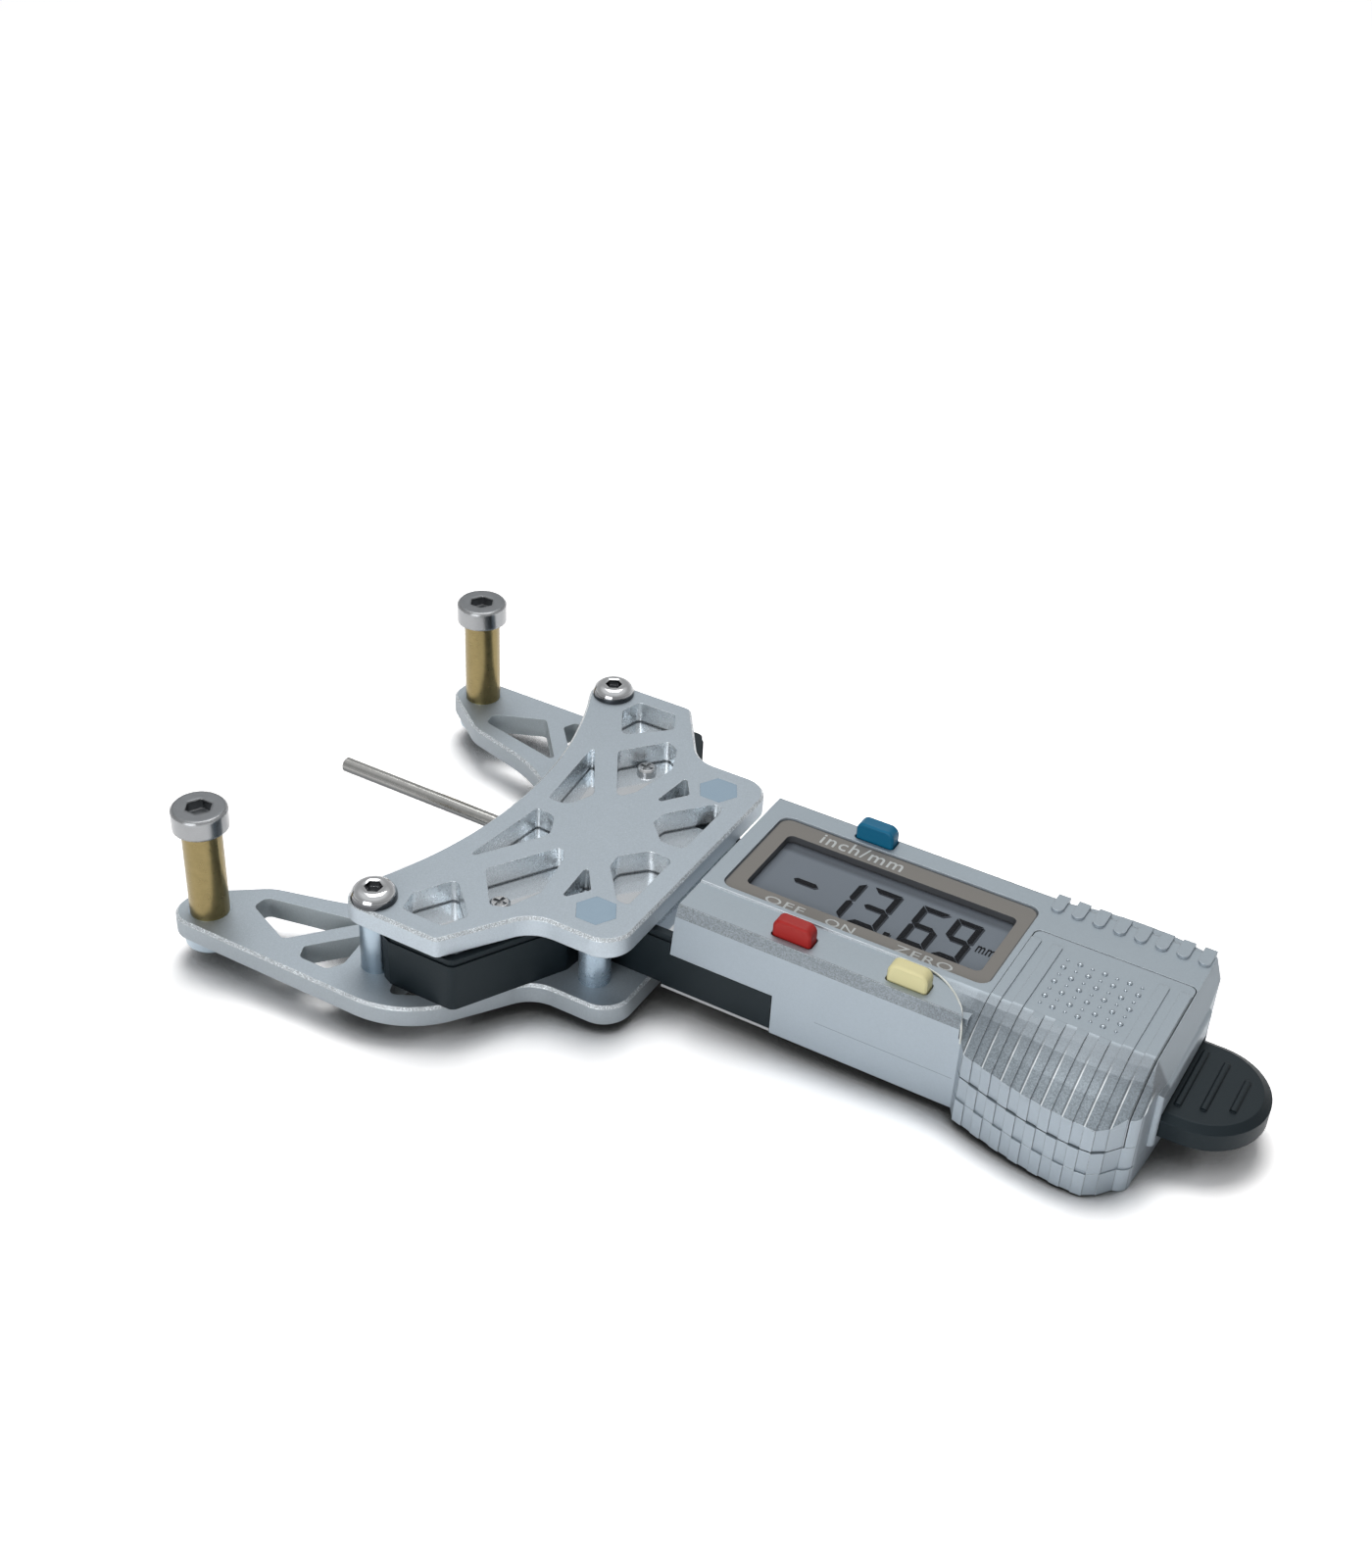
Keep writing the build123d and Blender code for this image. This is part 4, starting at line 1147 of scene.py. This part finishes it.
@dataclass
class Display:
    """The film inside the lens, the reading that stands on it and the words on the bezel.

    Each digit is the letters of its lit strokes with its left and right edges, and each word comes with
    its left and right edges, its foot and its head. The heights called lift are above the film.
    """

    foot: float = -1.75
    head: float = 5.95
    stroke: float = 0.72
    gap: float = 0.1
    lean: float = 0.02
    ink_thick: float = 0.04
    film: float = 0.42
    film_round: float = 0.8
    film_gap: float = 0.02
    film_thick: float = 0.05
    digits: tuple[tuple[str, float, float], ...] = (
        ("bc", 69.0, 73.0), ("abcdg", 74.0, 77.75), ("acdefg", 80.5, 84.05), ("abcdfg", 84.95, 88.35))
    minus: Point = (65.0, 68.2, 2.05)
    point: Flat = (79.15, -1.55)
    point_half: Flat = (0.36, 0.38)
    shift: Flat = (0.0, 0.1)
    lift: float = 0.05
    shade_shift: Flat = (0.22, -0.1)
    shade_lift: float = 0.002
    shade_spread: float = 0.05
    unit: tuple[str, float, float, float, float] = ("mm", 89.2, 91.45, 1.45, 2.7)
    unit_lift: float = 0.03
    words: tuple[tuple[str, float, float, float, float], ...] = (
        ("inch/mm", 64.75, 75.85, 9.25, 11.35), ("OFF", 64.45, 69.55, -4.75, -3.45),
        ("ON", 72.45, 76.15, -4.75, -3.45), ("ZERO", 81.5, 88.75, -4.75, -3.45))
    word_thick: float = 0.015

    def bar(self, start: float, end: float, y: float) -> list[Flat]:
        """A level stroke's outline, pointed at both ends."""
        half = self.stroke / 2
        return [(start, y), (start + half, y + half), (end - half, y + half), (end, y),
                (end - half, y - half), (start + half, y - half)]

    def stroke_outline(self, letter: str, left: float, right: float) -> list[Flat]:
        """One stroke's outline.

        Args:
            letter: The stroke, a to g, clockwise from the top with g in the middle.
            left: The digit's left edge.
            right: The digit's right edge.

        Returns:
            Its corners.
        """
        middle = (self.foot + self.head) / 2
        half = self.stroke / 2
        wide = self.stroke
        gap = self.gap
        levels = {"a": self.head - half, "g": middle, "d": self.foot + half}
        if letter in levels:
            y = levels[letter]
            if letter == "a":
                return [(left + gap, y + half), (right - gap, y + half), (right - wide - gap, y - half),
                        (left + wide + gap, y - half)]
            if letter == "d":
                return [(left + wide + gap, y + half), (right - wide - gap, y + half),
                        (right - gap, y - half), (left + gap, y - half)]
            return self.bar(left + half + gap, right - half - gap, y)
        upper = letter in "bf"
        far = self.head - gap if upper else middle - gap
        near = middle + gap if upper else self.foot + gap
        outer = right if letter in "bc" else left
        inward = -1.0 if letter in "bc" else 1.0
        inner = outer + inward * wide
        core = outer + inward * half
        if upper:
            return [(outer, far), (inner, far - wide), (inner, near + half), (core, near),
                    (outer, near + half * 0.6)]
        return [(outer, near), (inner, near + wide), (inner, far - half), (core, far),
                (outer, far - half * 0.6)]

    def reading(self, name: str, shift: Flat, spread: float, base: float) -> bpy.types.Mesh:
        """Every lit stroke as one mesh.

        Args:
            name: The mesh's name.
            shift: How far it is moved in X and Y.
            spread: How far each corner is moved away from its stroke's middle.
            base: The height that it lies on.

        Returns:
            The mesh in measured millimetres.
        """
        def moved(outline: list[Flat]) -> list[Flat]:
            """Spread, lean and shift an outline.

            Args:
                outline: Its corners.

            Returns:
                The moved corners.
            """
            centre = [sum(corner[axis] for corner in outline) / len(outline) for axis in (0, 1)]
            corners = []
            for x, y in outline:
                reach = math.hypot(x - centre[0], y - centre[1]) or 1.0
                scale = 1 + spread / reach
                x = centre[0] + (x - centre[0]) * scale
                y = centre[1] + (y - centre[1]) * scale
                corners.append((x + shift[0] + (y - self.foot) * self.lean, y + shift[1]))
            return corners

        def build(work: bmesh.types.BMesh) -> None:
            """Add the strokes, the minus and the point.

            Args:
                work: The bmesh that they are added to.
            """
            outlines = [self.stroke_outline(letter, left, right)
                        for lit, left, right in self.digits for letter in lit]
            outlines.append(self.bar(*self.minus))
            (x, y), (wide, tall) = self.point, self.point_half
            outlines.append([(x - wide, y - tall), (x + wide, y - tall), (x + wide, y + tall),
                             (x - wide, y + tall)])
            for outline in outlines:
                Pieces.prism(work, moved(outline), base, base + self.ink_thick)
        return Pieces.from_bmesh(name, build)

    def film_mesh(self, top: float) -> bpy.types.Mesh:
        """The polariser film that the reading stands on, inside the lens.

        Args:
            top: The height of its upper face.

        Returns:
            The mesh in measured millimetres.
        """
        low, high = bench.low("window_lens"), bench.high("window_lens")
        inset = self.film_round + self.film_gap
        left, right, near, far = low.x + inset, high.x - inset, low.y + inset, high.y - inset
        outline = []
        for quarter, (x, y) in enumerate(((right, far), (left, far), (left, near), (right, near))):
            for step in range(7):
                angle = math.radians(90 * quarter + 15 * step)
                outline.append((x + self.film_round * math.cos(angle),
                                y + self.film_round * math.sin(angle)))

        def build(work: bmesh.types.BMesh) -> None:
            """Add the film."""
            Pieces.prism(work, outline, top - self.film_thick, top)
        return Pieces.from_bmesh("display_film", build)

    def build(self) -> None:
        """Make the film, the digits, their cast shadow, the unit and the bezel's words."""
        film = bench.high("display_panel").z + self.film
        face = bench.high("window_bezel").z
        shade = Ink("digit_shade", srgb(68, 73, 80)).build()
        dark = Ink("digit_ink", srgb(12, 16, 22), 0.5).build()
        pale = Ink("legend_ink", srgb(206, 210, 210), 0.5).build()
        glass = (
            ("display_film", self.film_mesh(film), DisplayGround(name="display_film").build()),
            ("reading_shade", self.reading("reading_shade", self.shade_shift, self.shade_spread,
                                           film + self.shade_lift), shade),
            ("reading", self.reading("reading", self.shift, 0.0, film + self.lift), dark),
            ("reading_unit", Pieces.lettering(*self.unit, film + self.unit_lift, self.ink_thick), dark),
        )
        for name, mesh, finish in glass:
            Pieces.add(name, mesh, finish, Body.FRAME, "display_glass", False)
        for word, *edges in self.words:
            name = "legend_" + word.lower().replace("/", "_")
            Pieces.add(name, Pieces.lettering(word, *edges, face, self.word_thick), pale, Body.FRAME,
                       "grey_bezel", False)


@dataclass
class NodePattern:
    """A Geometry Nodes tree that sets balls at the points of a grid, every other one a small one.

    Squash is the balls' height against their width, and small is the small ones' size against the others.
    """

    name: str
    columns: int
    rows: int
    pitch_x: float
    pitch_y: float
    radius: float
    small: float
    squash: float
    segments: int = 14
    rings: int = 8

    def tree(self, material: bpy.types.Material) -> bpy.types.NodeTree:
        """Build the tree.

        Args:
            material: What the balls are finished in.

        Returns:
            The node tree, with named inputs for its sizes.
        """
        tree = bpy.data.node_groups.new(self.name, "GeometryNodeTree")
        tree.is_modifier = True
        for label, value in (("Pitch X", self.pitch_x), ("Pitch Y", self.pitch_y),
                             ("Radius", self.radius), ("Small", self.small), ("Squash", self.squash)):
            made = tree.interface.new_socket(label, in_out="INPUT", socket_type="NodeSocketFloat")
            made.default_value = value
        tree.interface.new_socket("Geometry", in_out="OUTPUT", socket_type="NodeSocketGeometry")
        node = Nodes(tree).node
        given = node("NodeGroupInput").outputs
        wide, band_dark_reflection = (node("ShaderNodeMath", {"operation": "MULTIPLY"}, {0: given[label], 1: count - 1})
                      for label, count in (("Pitch X", self.columns), ("Pitch Y", self.rows)))
        grid = node("GeometryNodeMeshGrid", inputs={
            "Vertices X": self.columns, "Vertices Y": self.rows, "Size X": wide.outputs[0],
            "Size Y": band_dark_reflection.outputs[0]})
        ball = node("GeometryNodeMeshUVSphere", inputs={
            "Segments": self.segments, "Rings": self.rings, "Radius": given["Radius"]})
        shape = node("ShaderNodeCombineXYZ", inputs={0: 1.0, 1: 1.0, 2: given["Squash"]})
        dome = node("GeometryNodeTransform", inputs={"Geometry": ball.outputs["Mesh"],
                                                     "Scale": shape.outputs[0]})
        index = node("GeometryNodeInputIndex")
        odd = node("ShaderNodeMath", {"operation": "MODULO"}, {0: index.outputs[0], 1: 2.0})
        size = node("ShaderNodeMix", {"data_type": "FLOAT"},
                    {0: odd.outputs[0], 2: given["Small"], 3: 1.0})
        put = node("GeometryNodeInstanceOnPoints", inputs={
            "Points": grid.outputs["Mesh"], "Instance": dome.outputs["Geometry"],
            "Scale": size.outputs[0]})
        real = node("GeometryNodeRealizeInstances", inputs={0: put.outputs[0]})
        paint = node("GeometryNodeSetMaterial", inputs={0: real.outputs[0], "Material": material})
        node("NodeGroupOutput", inputs={0: paint.outputs[0]})
        return tree

    def mesh(self, material: bpy.types.Material) -> bpy.types.Mesh:
        """Run the tree.

        Args:
            material: What the balls are finished in.

        Returns:
            A plain mesh, centred on the origin.
        """
        carrier = bpy.data.objects.new(self.name, bpy.data.meshes.new(self.name))
        bpy.context.scene.collection.objects.link(carrier)
        modifier = carrier.modifiers.new("pattern", "NODES")
        modifier.node_group = self.tree(material)
        graph = bpy.context.evaluated_depsgraph_get()
        made = bpy.data.meshes.new_from_object(carrier.evaluated_get(graph))
        carrier.modifiers.remove(modifier)
        bpy.data.objects.remove(carrier)
        return made


@dataclass
class GripDots:
    """The field of small domes, sunk a little into the battery door's top below the housing's."""

    centre: Flat = (104.0, 0.05)
    below: float = 0.35
    sunk: float = 0.02
    side: int = 7
    pitch_x: float = 1.5
    pitch_y: float = 1.45
    radius: float = 0.36
    small: float = 0.6
    squash: float = 0.8

    def build(self) -> None:
        """Make the domes on the door's top."""
        paint = DomePaint().build()
        pattern = NodePattern("grip_dots", self.side, self.side, self.pitch_x, self.pitch_y, self.radius,
                              self.small, self.squash)
        mesh = pattern.mesh(paint)
        foot = bench.high("display_housing").z - self.below - self.sunk
        mesh.transform(Matrix.Translation((*self.centre, foot)))
        Pieces.add("grip_dots", mesh, paint, Body.DOOR, "silver_housing")


@dataclass
class ButtonHeads:
    """The two polished button-head screws, turned smooth, with their hex sockets.

    Flat is the radius where the head's curve ends, mouth is the socket's, flats is its hexagon's size and
    depth is how far its floor lies below the head's top.
    """

    place: Flat
    radius: float = 2.85
    rise: float = 1.65
    rim: float = 0.25
    flat: float = 1.55
    mouth: float = 1.3
    flats: float = 2.0
    chamfer: float = 0.1
    depth: float = 0.9
    shank: float = 1.45
    steps: int = 60
    rise_steps: int = 8

    def rings(self, seat: float, foot: float) -> list[tuple[Callable[[float], float], float]]:
        """The head's rings from the shank's foot to the socket's floor.

        Args:
            seat: The height that the head sits on.
            foot: The height of the shank's foot.

        Returns:
            For each ring its radius by angle, and its height.
        """
        def circle(radius: float) -> Callable[[float], float]:
            """A ring of one radius."""
            return lambda angle: radius

        def hexagon(angle: float) -> float:
            """The socket's wall at an angle."""
            turn = (angle + math.pi / 6) % (math.pi / 3) - math.pi / 6
            return self.flats / 2 / math.cos(turn)
        made = [(circle(self.shank), foot), (circle(self.shank), seat), (circle(self.radius), seat),
                (circle(self.radius), seat + self.rim)]
        span = self.radius - self.flat
        for step in range(1, self.rise_steps + 1):
            turn = step / self.rise_steps * math.pi / 2
            made.append((circle(self.flat + span * math.cos(turn)),
                         seat + self.rim + (self.rise - self.rim) * math.sin(turn)))
        top = seat + self.rise
        made += [(circle(self.mouth), top), (hexagon, top - self.chamfer), (hexagon, top - self.depth)]
        return made

    def build(self) -> None:
        """Make both screws in place of their plain solids."""
        seat = bench.high("top_plate").z
        foot = bench.low("front_screws").z

        def draw(work: bmesh.types.BMesh) -> None:
            """Turn each screw about its own axis."""
            turns = [2 * math.pi * k / self.steps for k in range(self.steps)]
            for side in (-1, 1):
                x, y = self.place[0], side * self.place[1]
                loops = [[work.verts.new((x + radius(t) * math.cos(t), y + radius(t) * math.sin(t), high))
                          for t in turns] for radius, high in self.rings(seat, foot)]
                for lower, upper in zip(loops, loops[1:]):
                    for k in range(self.steps):
                        after = (k + 1) % self.steps
                        work.faces.new((lower[k], lower[after], upper[after], upper[k]))
                work.faces.new(loops[0])
                work.faces.new(loops[-1])
        # The lower-side tint is painted shade.
        steel = TurnedMetal("front_head_steel", srgb(190, 192, 194), 0.1, *self.place,
                            flank_shade=srgb(82, 84, 87), flank_span=(0.15, 0.7)).build()
        piece = Pieces.add("front_button_heads", Pieces.from_bmesh("front_button_heads", draw), steel,
                           Body.FRAME, "polished_steel")
        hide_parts("front_screws")


@dataclass
class RidgeHighlight:
    """A painted highlight along the curved ridge that ends the housing's shoulder, made as a thin pale
    bead.
    """

    points: tuple[Point, ...] = (
        (86.5, -5.72, 13.15), (88.3, -6.3, 13.1), (90.0, -7.3, 12.97), (91.6, -8.8, 12.9),
        (92.45, -9.9, 12.75), (92.95, -10.95, 12.3), (93.25, -11.35, 11.2), (93.35, -11.4, 9.4))
    radius: float = 0.13

    def build(self) -> None:
        """Sweep the bead along its points."""
        curve = bpy.data.curves.new("ridge_highlight", "CURVE")
        curve.dimensions = "3D"
        curve.bevel_depth = self.radius
        curve.bevel_resolution = 3
        curve.resolution_u = 6
        curve.use_fill_caps = True
        spline = curve.splines.new("BEZIER")
        spline.bezier_points.add(len(self.points) - 1)
        for knot, point in zip(spline.bezier_points, self.points):
            knot.co = point
            knot.handle_left_type = knot.handle_right_type = "AUTO"
        # The pale colour is a painted highlight.
        pale = PlainPart("ridge_highlight_paint", srgb(214, 217, 212), 0.35, 0.3, 0.2).build()
        Pieces.add("ridge_highlight", Pieces.from_curve(curve), pale, Body.FRAME, "silver_housing")


@dataclass
class ScaleMarks:
    """The graduations printed on the slide bar's strip, one to a millimetre.

    Lengths are those of a single line, a fifth one and a tenth one, all from the same edge.
    """

    start: float = 62.0
    step: float = 1.0
    count: int = 37
    width: float = 0.14
    edge: float = 2.9
    lengths: Point = (1.6, 2.4, 3.2)
    thick: float = 0.012

    def build(self) -> None:
        """Make the lines, longer at every fifth and longest at every tenth."""
        top = bench.high("scale_strip").z

        def draw(work: bmesh.types.BMesh) -> None:
            """Add each line."""
            for index in range(self.count):
                x = self.start + index * self.step
                foot = self.edge - self.lengths[(index % 5 == 0) + (index % 10 == 0)]
                outline = [(x, foot), (x + self.width, foot), (x + self.width, self.edge), (x, self.edge)]
                Pieces.prism(work, outline, top, top + self.thick)
        ink = Ink("scale_ink", srgb(30, 30, 32)).build()
        Pieces.add("scale_marks", Pieces.from_bmesh("scale_marks", draw), ink, Body.SLIDER,
                   "scale_strip", False)


@dataclass(frozen=True)
class Lamp:
    """A square soft lamp that looks at the gauge.

    It hangs at a place in the row's metres, with its side in metres and its power in watts. A flagged
    lamp's light is kept off the floor.
    """

    name: str
    at: Point
    size: float
    power: float
    tint: Point
    flagged: bool = False

    def hang(self) -> None:
        """Put the lamp in the scene."""
        data = bpy.data.lights.new(self.name, "AREA")
        data.size = self.size
        data.energy = self.power
        data.color = self.tint
        lamp = bpy.data.objects.new(self.name, data)
        lamp.location = self.at
        lamp.rotation_euler = (-Vector(self.at)).to_track_quat("-Z", "Y").to_euler()
        bpy.context.scene.collection.objects.link(lamp)
        if self.flagged:
            lit = bpy.data.collections.new(self.name + "_lit")
            for piece in bpy.context.scene.objects:
                if piece.type == "MESH" and piece.name != "floor":
                    lit.objects.link(piece)
            lamp.light_linking.receiver_collection = lit


@dataclass
class Studio:
    """Floor, light and camera.

    The floor touches the rear screws and the tail, so it is tilted by tail_tilt, in degrees, about the
    place at rest_x and rest_z. Its paper is lighter than white, with a glow called lift, so that it stays
    white in the lamps' light. Near the gauge paper and glow carry a painted contact shadow, taken from
    ambient occlusion within the contact distance, and the floor fades to plain white between two distances
    in metres. The camera stands at the eye and looks at the aim, rolled by some degrees. The tent is what
    polished metal mirrors, as its level from the horizon to overhead.
    """

    tail_tilt: float = 3.13
    rest_x: float = 47.5
    rest_z: float = -4.1
    eye: Point = (146.218, -177.787, 162.601)
    aim: Point = (33.038, 32.827, -4.4)
    roll: float = 3.115
    lens: float = 46.86
    paper: Colour = (2.05, 2.04, 2.04, 1.0)
    lift: Colour = (0.2, 0.2, 0.2, 1.0)
    fades: tuple[float, float] = (0.2, 0.6)
    # contact is the reach of the floor's painted contact shadow, in millimetres.
    contact: float = 6.0
    reach: float = 4.0
    below: float = 0.02
    air: Colour = (0.97, 0.98, 1.0, 1.0)
    white: Colour = (1.0, 1.0, 1.0, 1.0)
    ambient: float = 0.16
    tent: tuple[Flat, ...] = ((0.0, 0.5), (0.12, 0.95), (0.3, 0.6), (0.6, 0.55), (0.85, 1.0))
    lamps: tuple[Lamp, ...] = (
        Lamp("key", (-0.35, 0.6, 1.75), 1.0, 17.0, (1.0, 0.99, 0.98)),
        Lamp("fill", (0.1, -1.8, 0.45), 1.2, 22.0, (0.98, 0.99, 1.0), True))

    def floor(self) -> None:
        """Lay the pale floor that the gauge rests on, on its rear screws and its tail."""
        corners = [(x * self.reach, y * self.reach, 0) for x, y in ((-1, -1), (1, -1), (1, 1), (-1, 1))]
        mesh = bpy.data.meshes.new("floor")
        mesh.from_pydata(corners, [], [(0, 1, 2, 3)])
        turn = Matrix.Rotation(math.radians(-self.tail_tilt), 4, "Y")
        mesh.transform(Matrix.Translation(bench.row(self.rest_x, 0, self.rest_z - self.below)) @ turn)
        floor = bpy.data.objects.new("floor", mesh)
        bpy.context.scene.collection.objects.link(floor)
        mesh.materials.append(self.paper_finish())

    def paper_finish(self) -> bpy.types.Material:
        """Make the floor's paper: white to the camera and in mirrors, with a painted contact shadow near
        the gauge, plain to the light it throws on.

        Returns:
            The material.
        """
        shader = Shader("floor_paper")
        shader.set(Base_Color=(0.93, 0.93, 0.93, 1.0), Roughness=0.9, Specular_IOR_Level=0.1)
        # Painted shadow: paper and glow are darkened where the gauge hides the sky nearby.
        contact = 0.03 + shader.open_air(self.contact).ramp(0.4, 0.88) * 0.97
        lit = shader.node("ShaderNodeBsdfDiffuse", inputs={"Color": shader.shade(self.paper, contact)})
        glow = shader.node("ShaderNodeEmission", inputs={"Color": shader.shade(self.lift, contact)})
        near = shader.node("ShaderNodeAddShader", inputs={0: lit.outputs[0], 1: glow.outputs[0]})
        distance = shader.node("ShaderNodeVectorMath", {"operation": "LENGTH"}, {0: shader.places})
        away = Value(shader, distance.outputs["Value"]).ramp(*self.fades)
        far = shader.node("ShaderNodeEmission", inputs={"Strength": 1.0})
        seen = shader.node("ShaderNodeMixShader", inputs={0: away, 1: near.outputs[0], 2: far.outputs[0]})
        path = shader.node("ShaderNodeLightPath").outputs
        watched = Value(shader, path["Is Camera Ray"]).most(path["Is Glossy Ray"])
        mixed = shader.node("ShaderNodeMixShader", inputs={0: watched, 1: shader.main.outputs[0],
                                                           2: seen.outputs[0]})
        shader.feed(shader.tree.nodes["Material Output"].inputs["Surface"], mixed.outputs[0])
        return shader.material

    def world(self) -> None:
        """Light the gauge dimly from all round, behind it white to the camera and the tent in mirrors."""
        world = bpy.data.worlds.new("tent")
        bpy.context.scene.world = world
        world.use_nodes = True
        nodes = Nodes(world.node_tree)
        light = world.node_tree.nodes["Background"]
        nodes.feed(light.inputs["Color"], self.air)
        nodes.feed(light.inputs["Strength"], self.ambient)
        white = nodes.node("ShaderNodeBackground", inputs={"Color": self.white, "Strength": 1.0})
        way = nodes.node("ShaderNodeTexCoord").outputs["Generated"]
        height = nodes.node("ShaderNodeSeparateXYZ", inputs={0: way})
        stops = [(at, (level, level, level, 1.0)) for at, level in self.tent]
        rise = nodes.node("ShaderNodeValToRGB", {"stops": stops}, {0: height.outputs["Z"]})
        tent = nodes.node("ShaderNodeBackground", inputs={"Color": rise.outputs[0]})
        path = nodes.node("ShaderNodeLightPath").outputs
        mirrored = nodes.node("ShaderNodeMixShader", inputs={0: path["Is Glossy Ray"], 1: light.outputs[0],
                                                             2: tent.outputs[0]})
        seen = nodes.node("ShaderNodeMixShader", inputs={0: path["Is Camera Ray"], 1: mirrored.outputs[0],
                                                         2: white.outputs[0]})
        nodes.feed(world.node_tree.nodes["World Output"].inputs[0], seen.outputs[0])

    def camera(self) -> None:
        """Set the camera where the photograph was taken from."""
        eye = bench.row(*self.eye)
        ahead = (bench.row(*self.aim) - eye).normalized()
        level = ahead.cross(Vector((0, 0, 1))).normalized()
        upright = level.cross(ahead)
        angle = math.radians(self.roll)
        right = level * math.cos(angle) + upright * math.sin(angle)
        up = upright * math.cos(angle) - level * math.sin(angle)
        data = bpy.data.cameras.new("camera")
        data.lens = self.lens
        data.sensor_width = 36.0
        data.clip_start = 0.01
        camera = bpy.data.objects.new("camera", data)
        turn = Matrix((right, up, -ahead)).transposed().to_4x4()
        camera.matrix_world = Matrix.Translation(eye) @ turn
        bpy.context.scene.collection.objects.link(camera)
        bpy.context.scene.camera = camera

    def build(self) -> None:
        """Set up the whole studio."""
        self.floor()
        self.world()
        for lamp in self.lamps:
            lamp.hang()
        self.camera()
        bpy.context.scene.view_settings.view_transform = "Standard"


def main() -> None:
    """Dress the gauge piece by piece and set up the studio."""
    logging.basicConfig(level=logging.INFO, format="%(name)s: %(message)s")
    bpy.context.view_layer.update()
    Finishes().dress()
    Display().build()
    GripDots().build()
    ButtonHeads(Finishes.front_screw).build()
    RidgeHighlight().build()
    ScaleMarks().build()
    Studio().build()
    log.info("gauge finished")


if __name__ == "__main__":
    main()
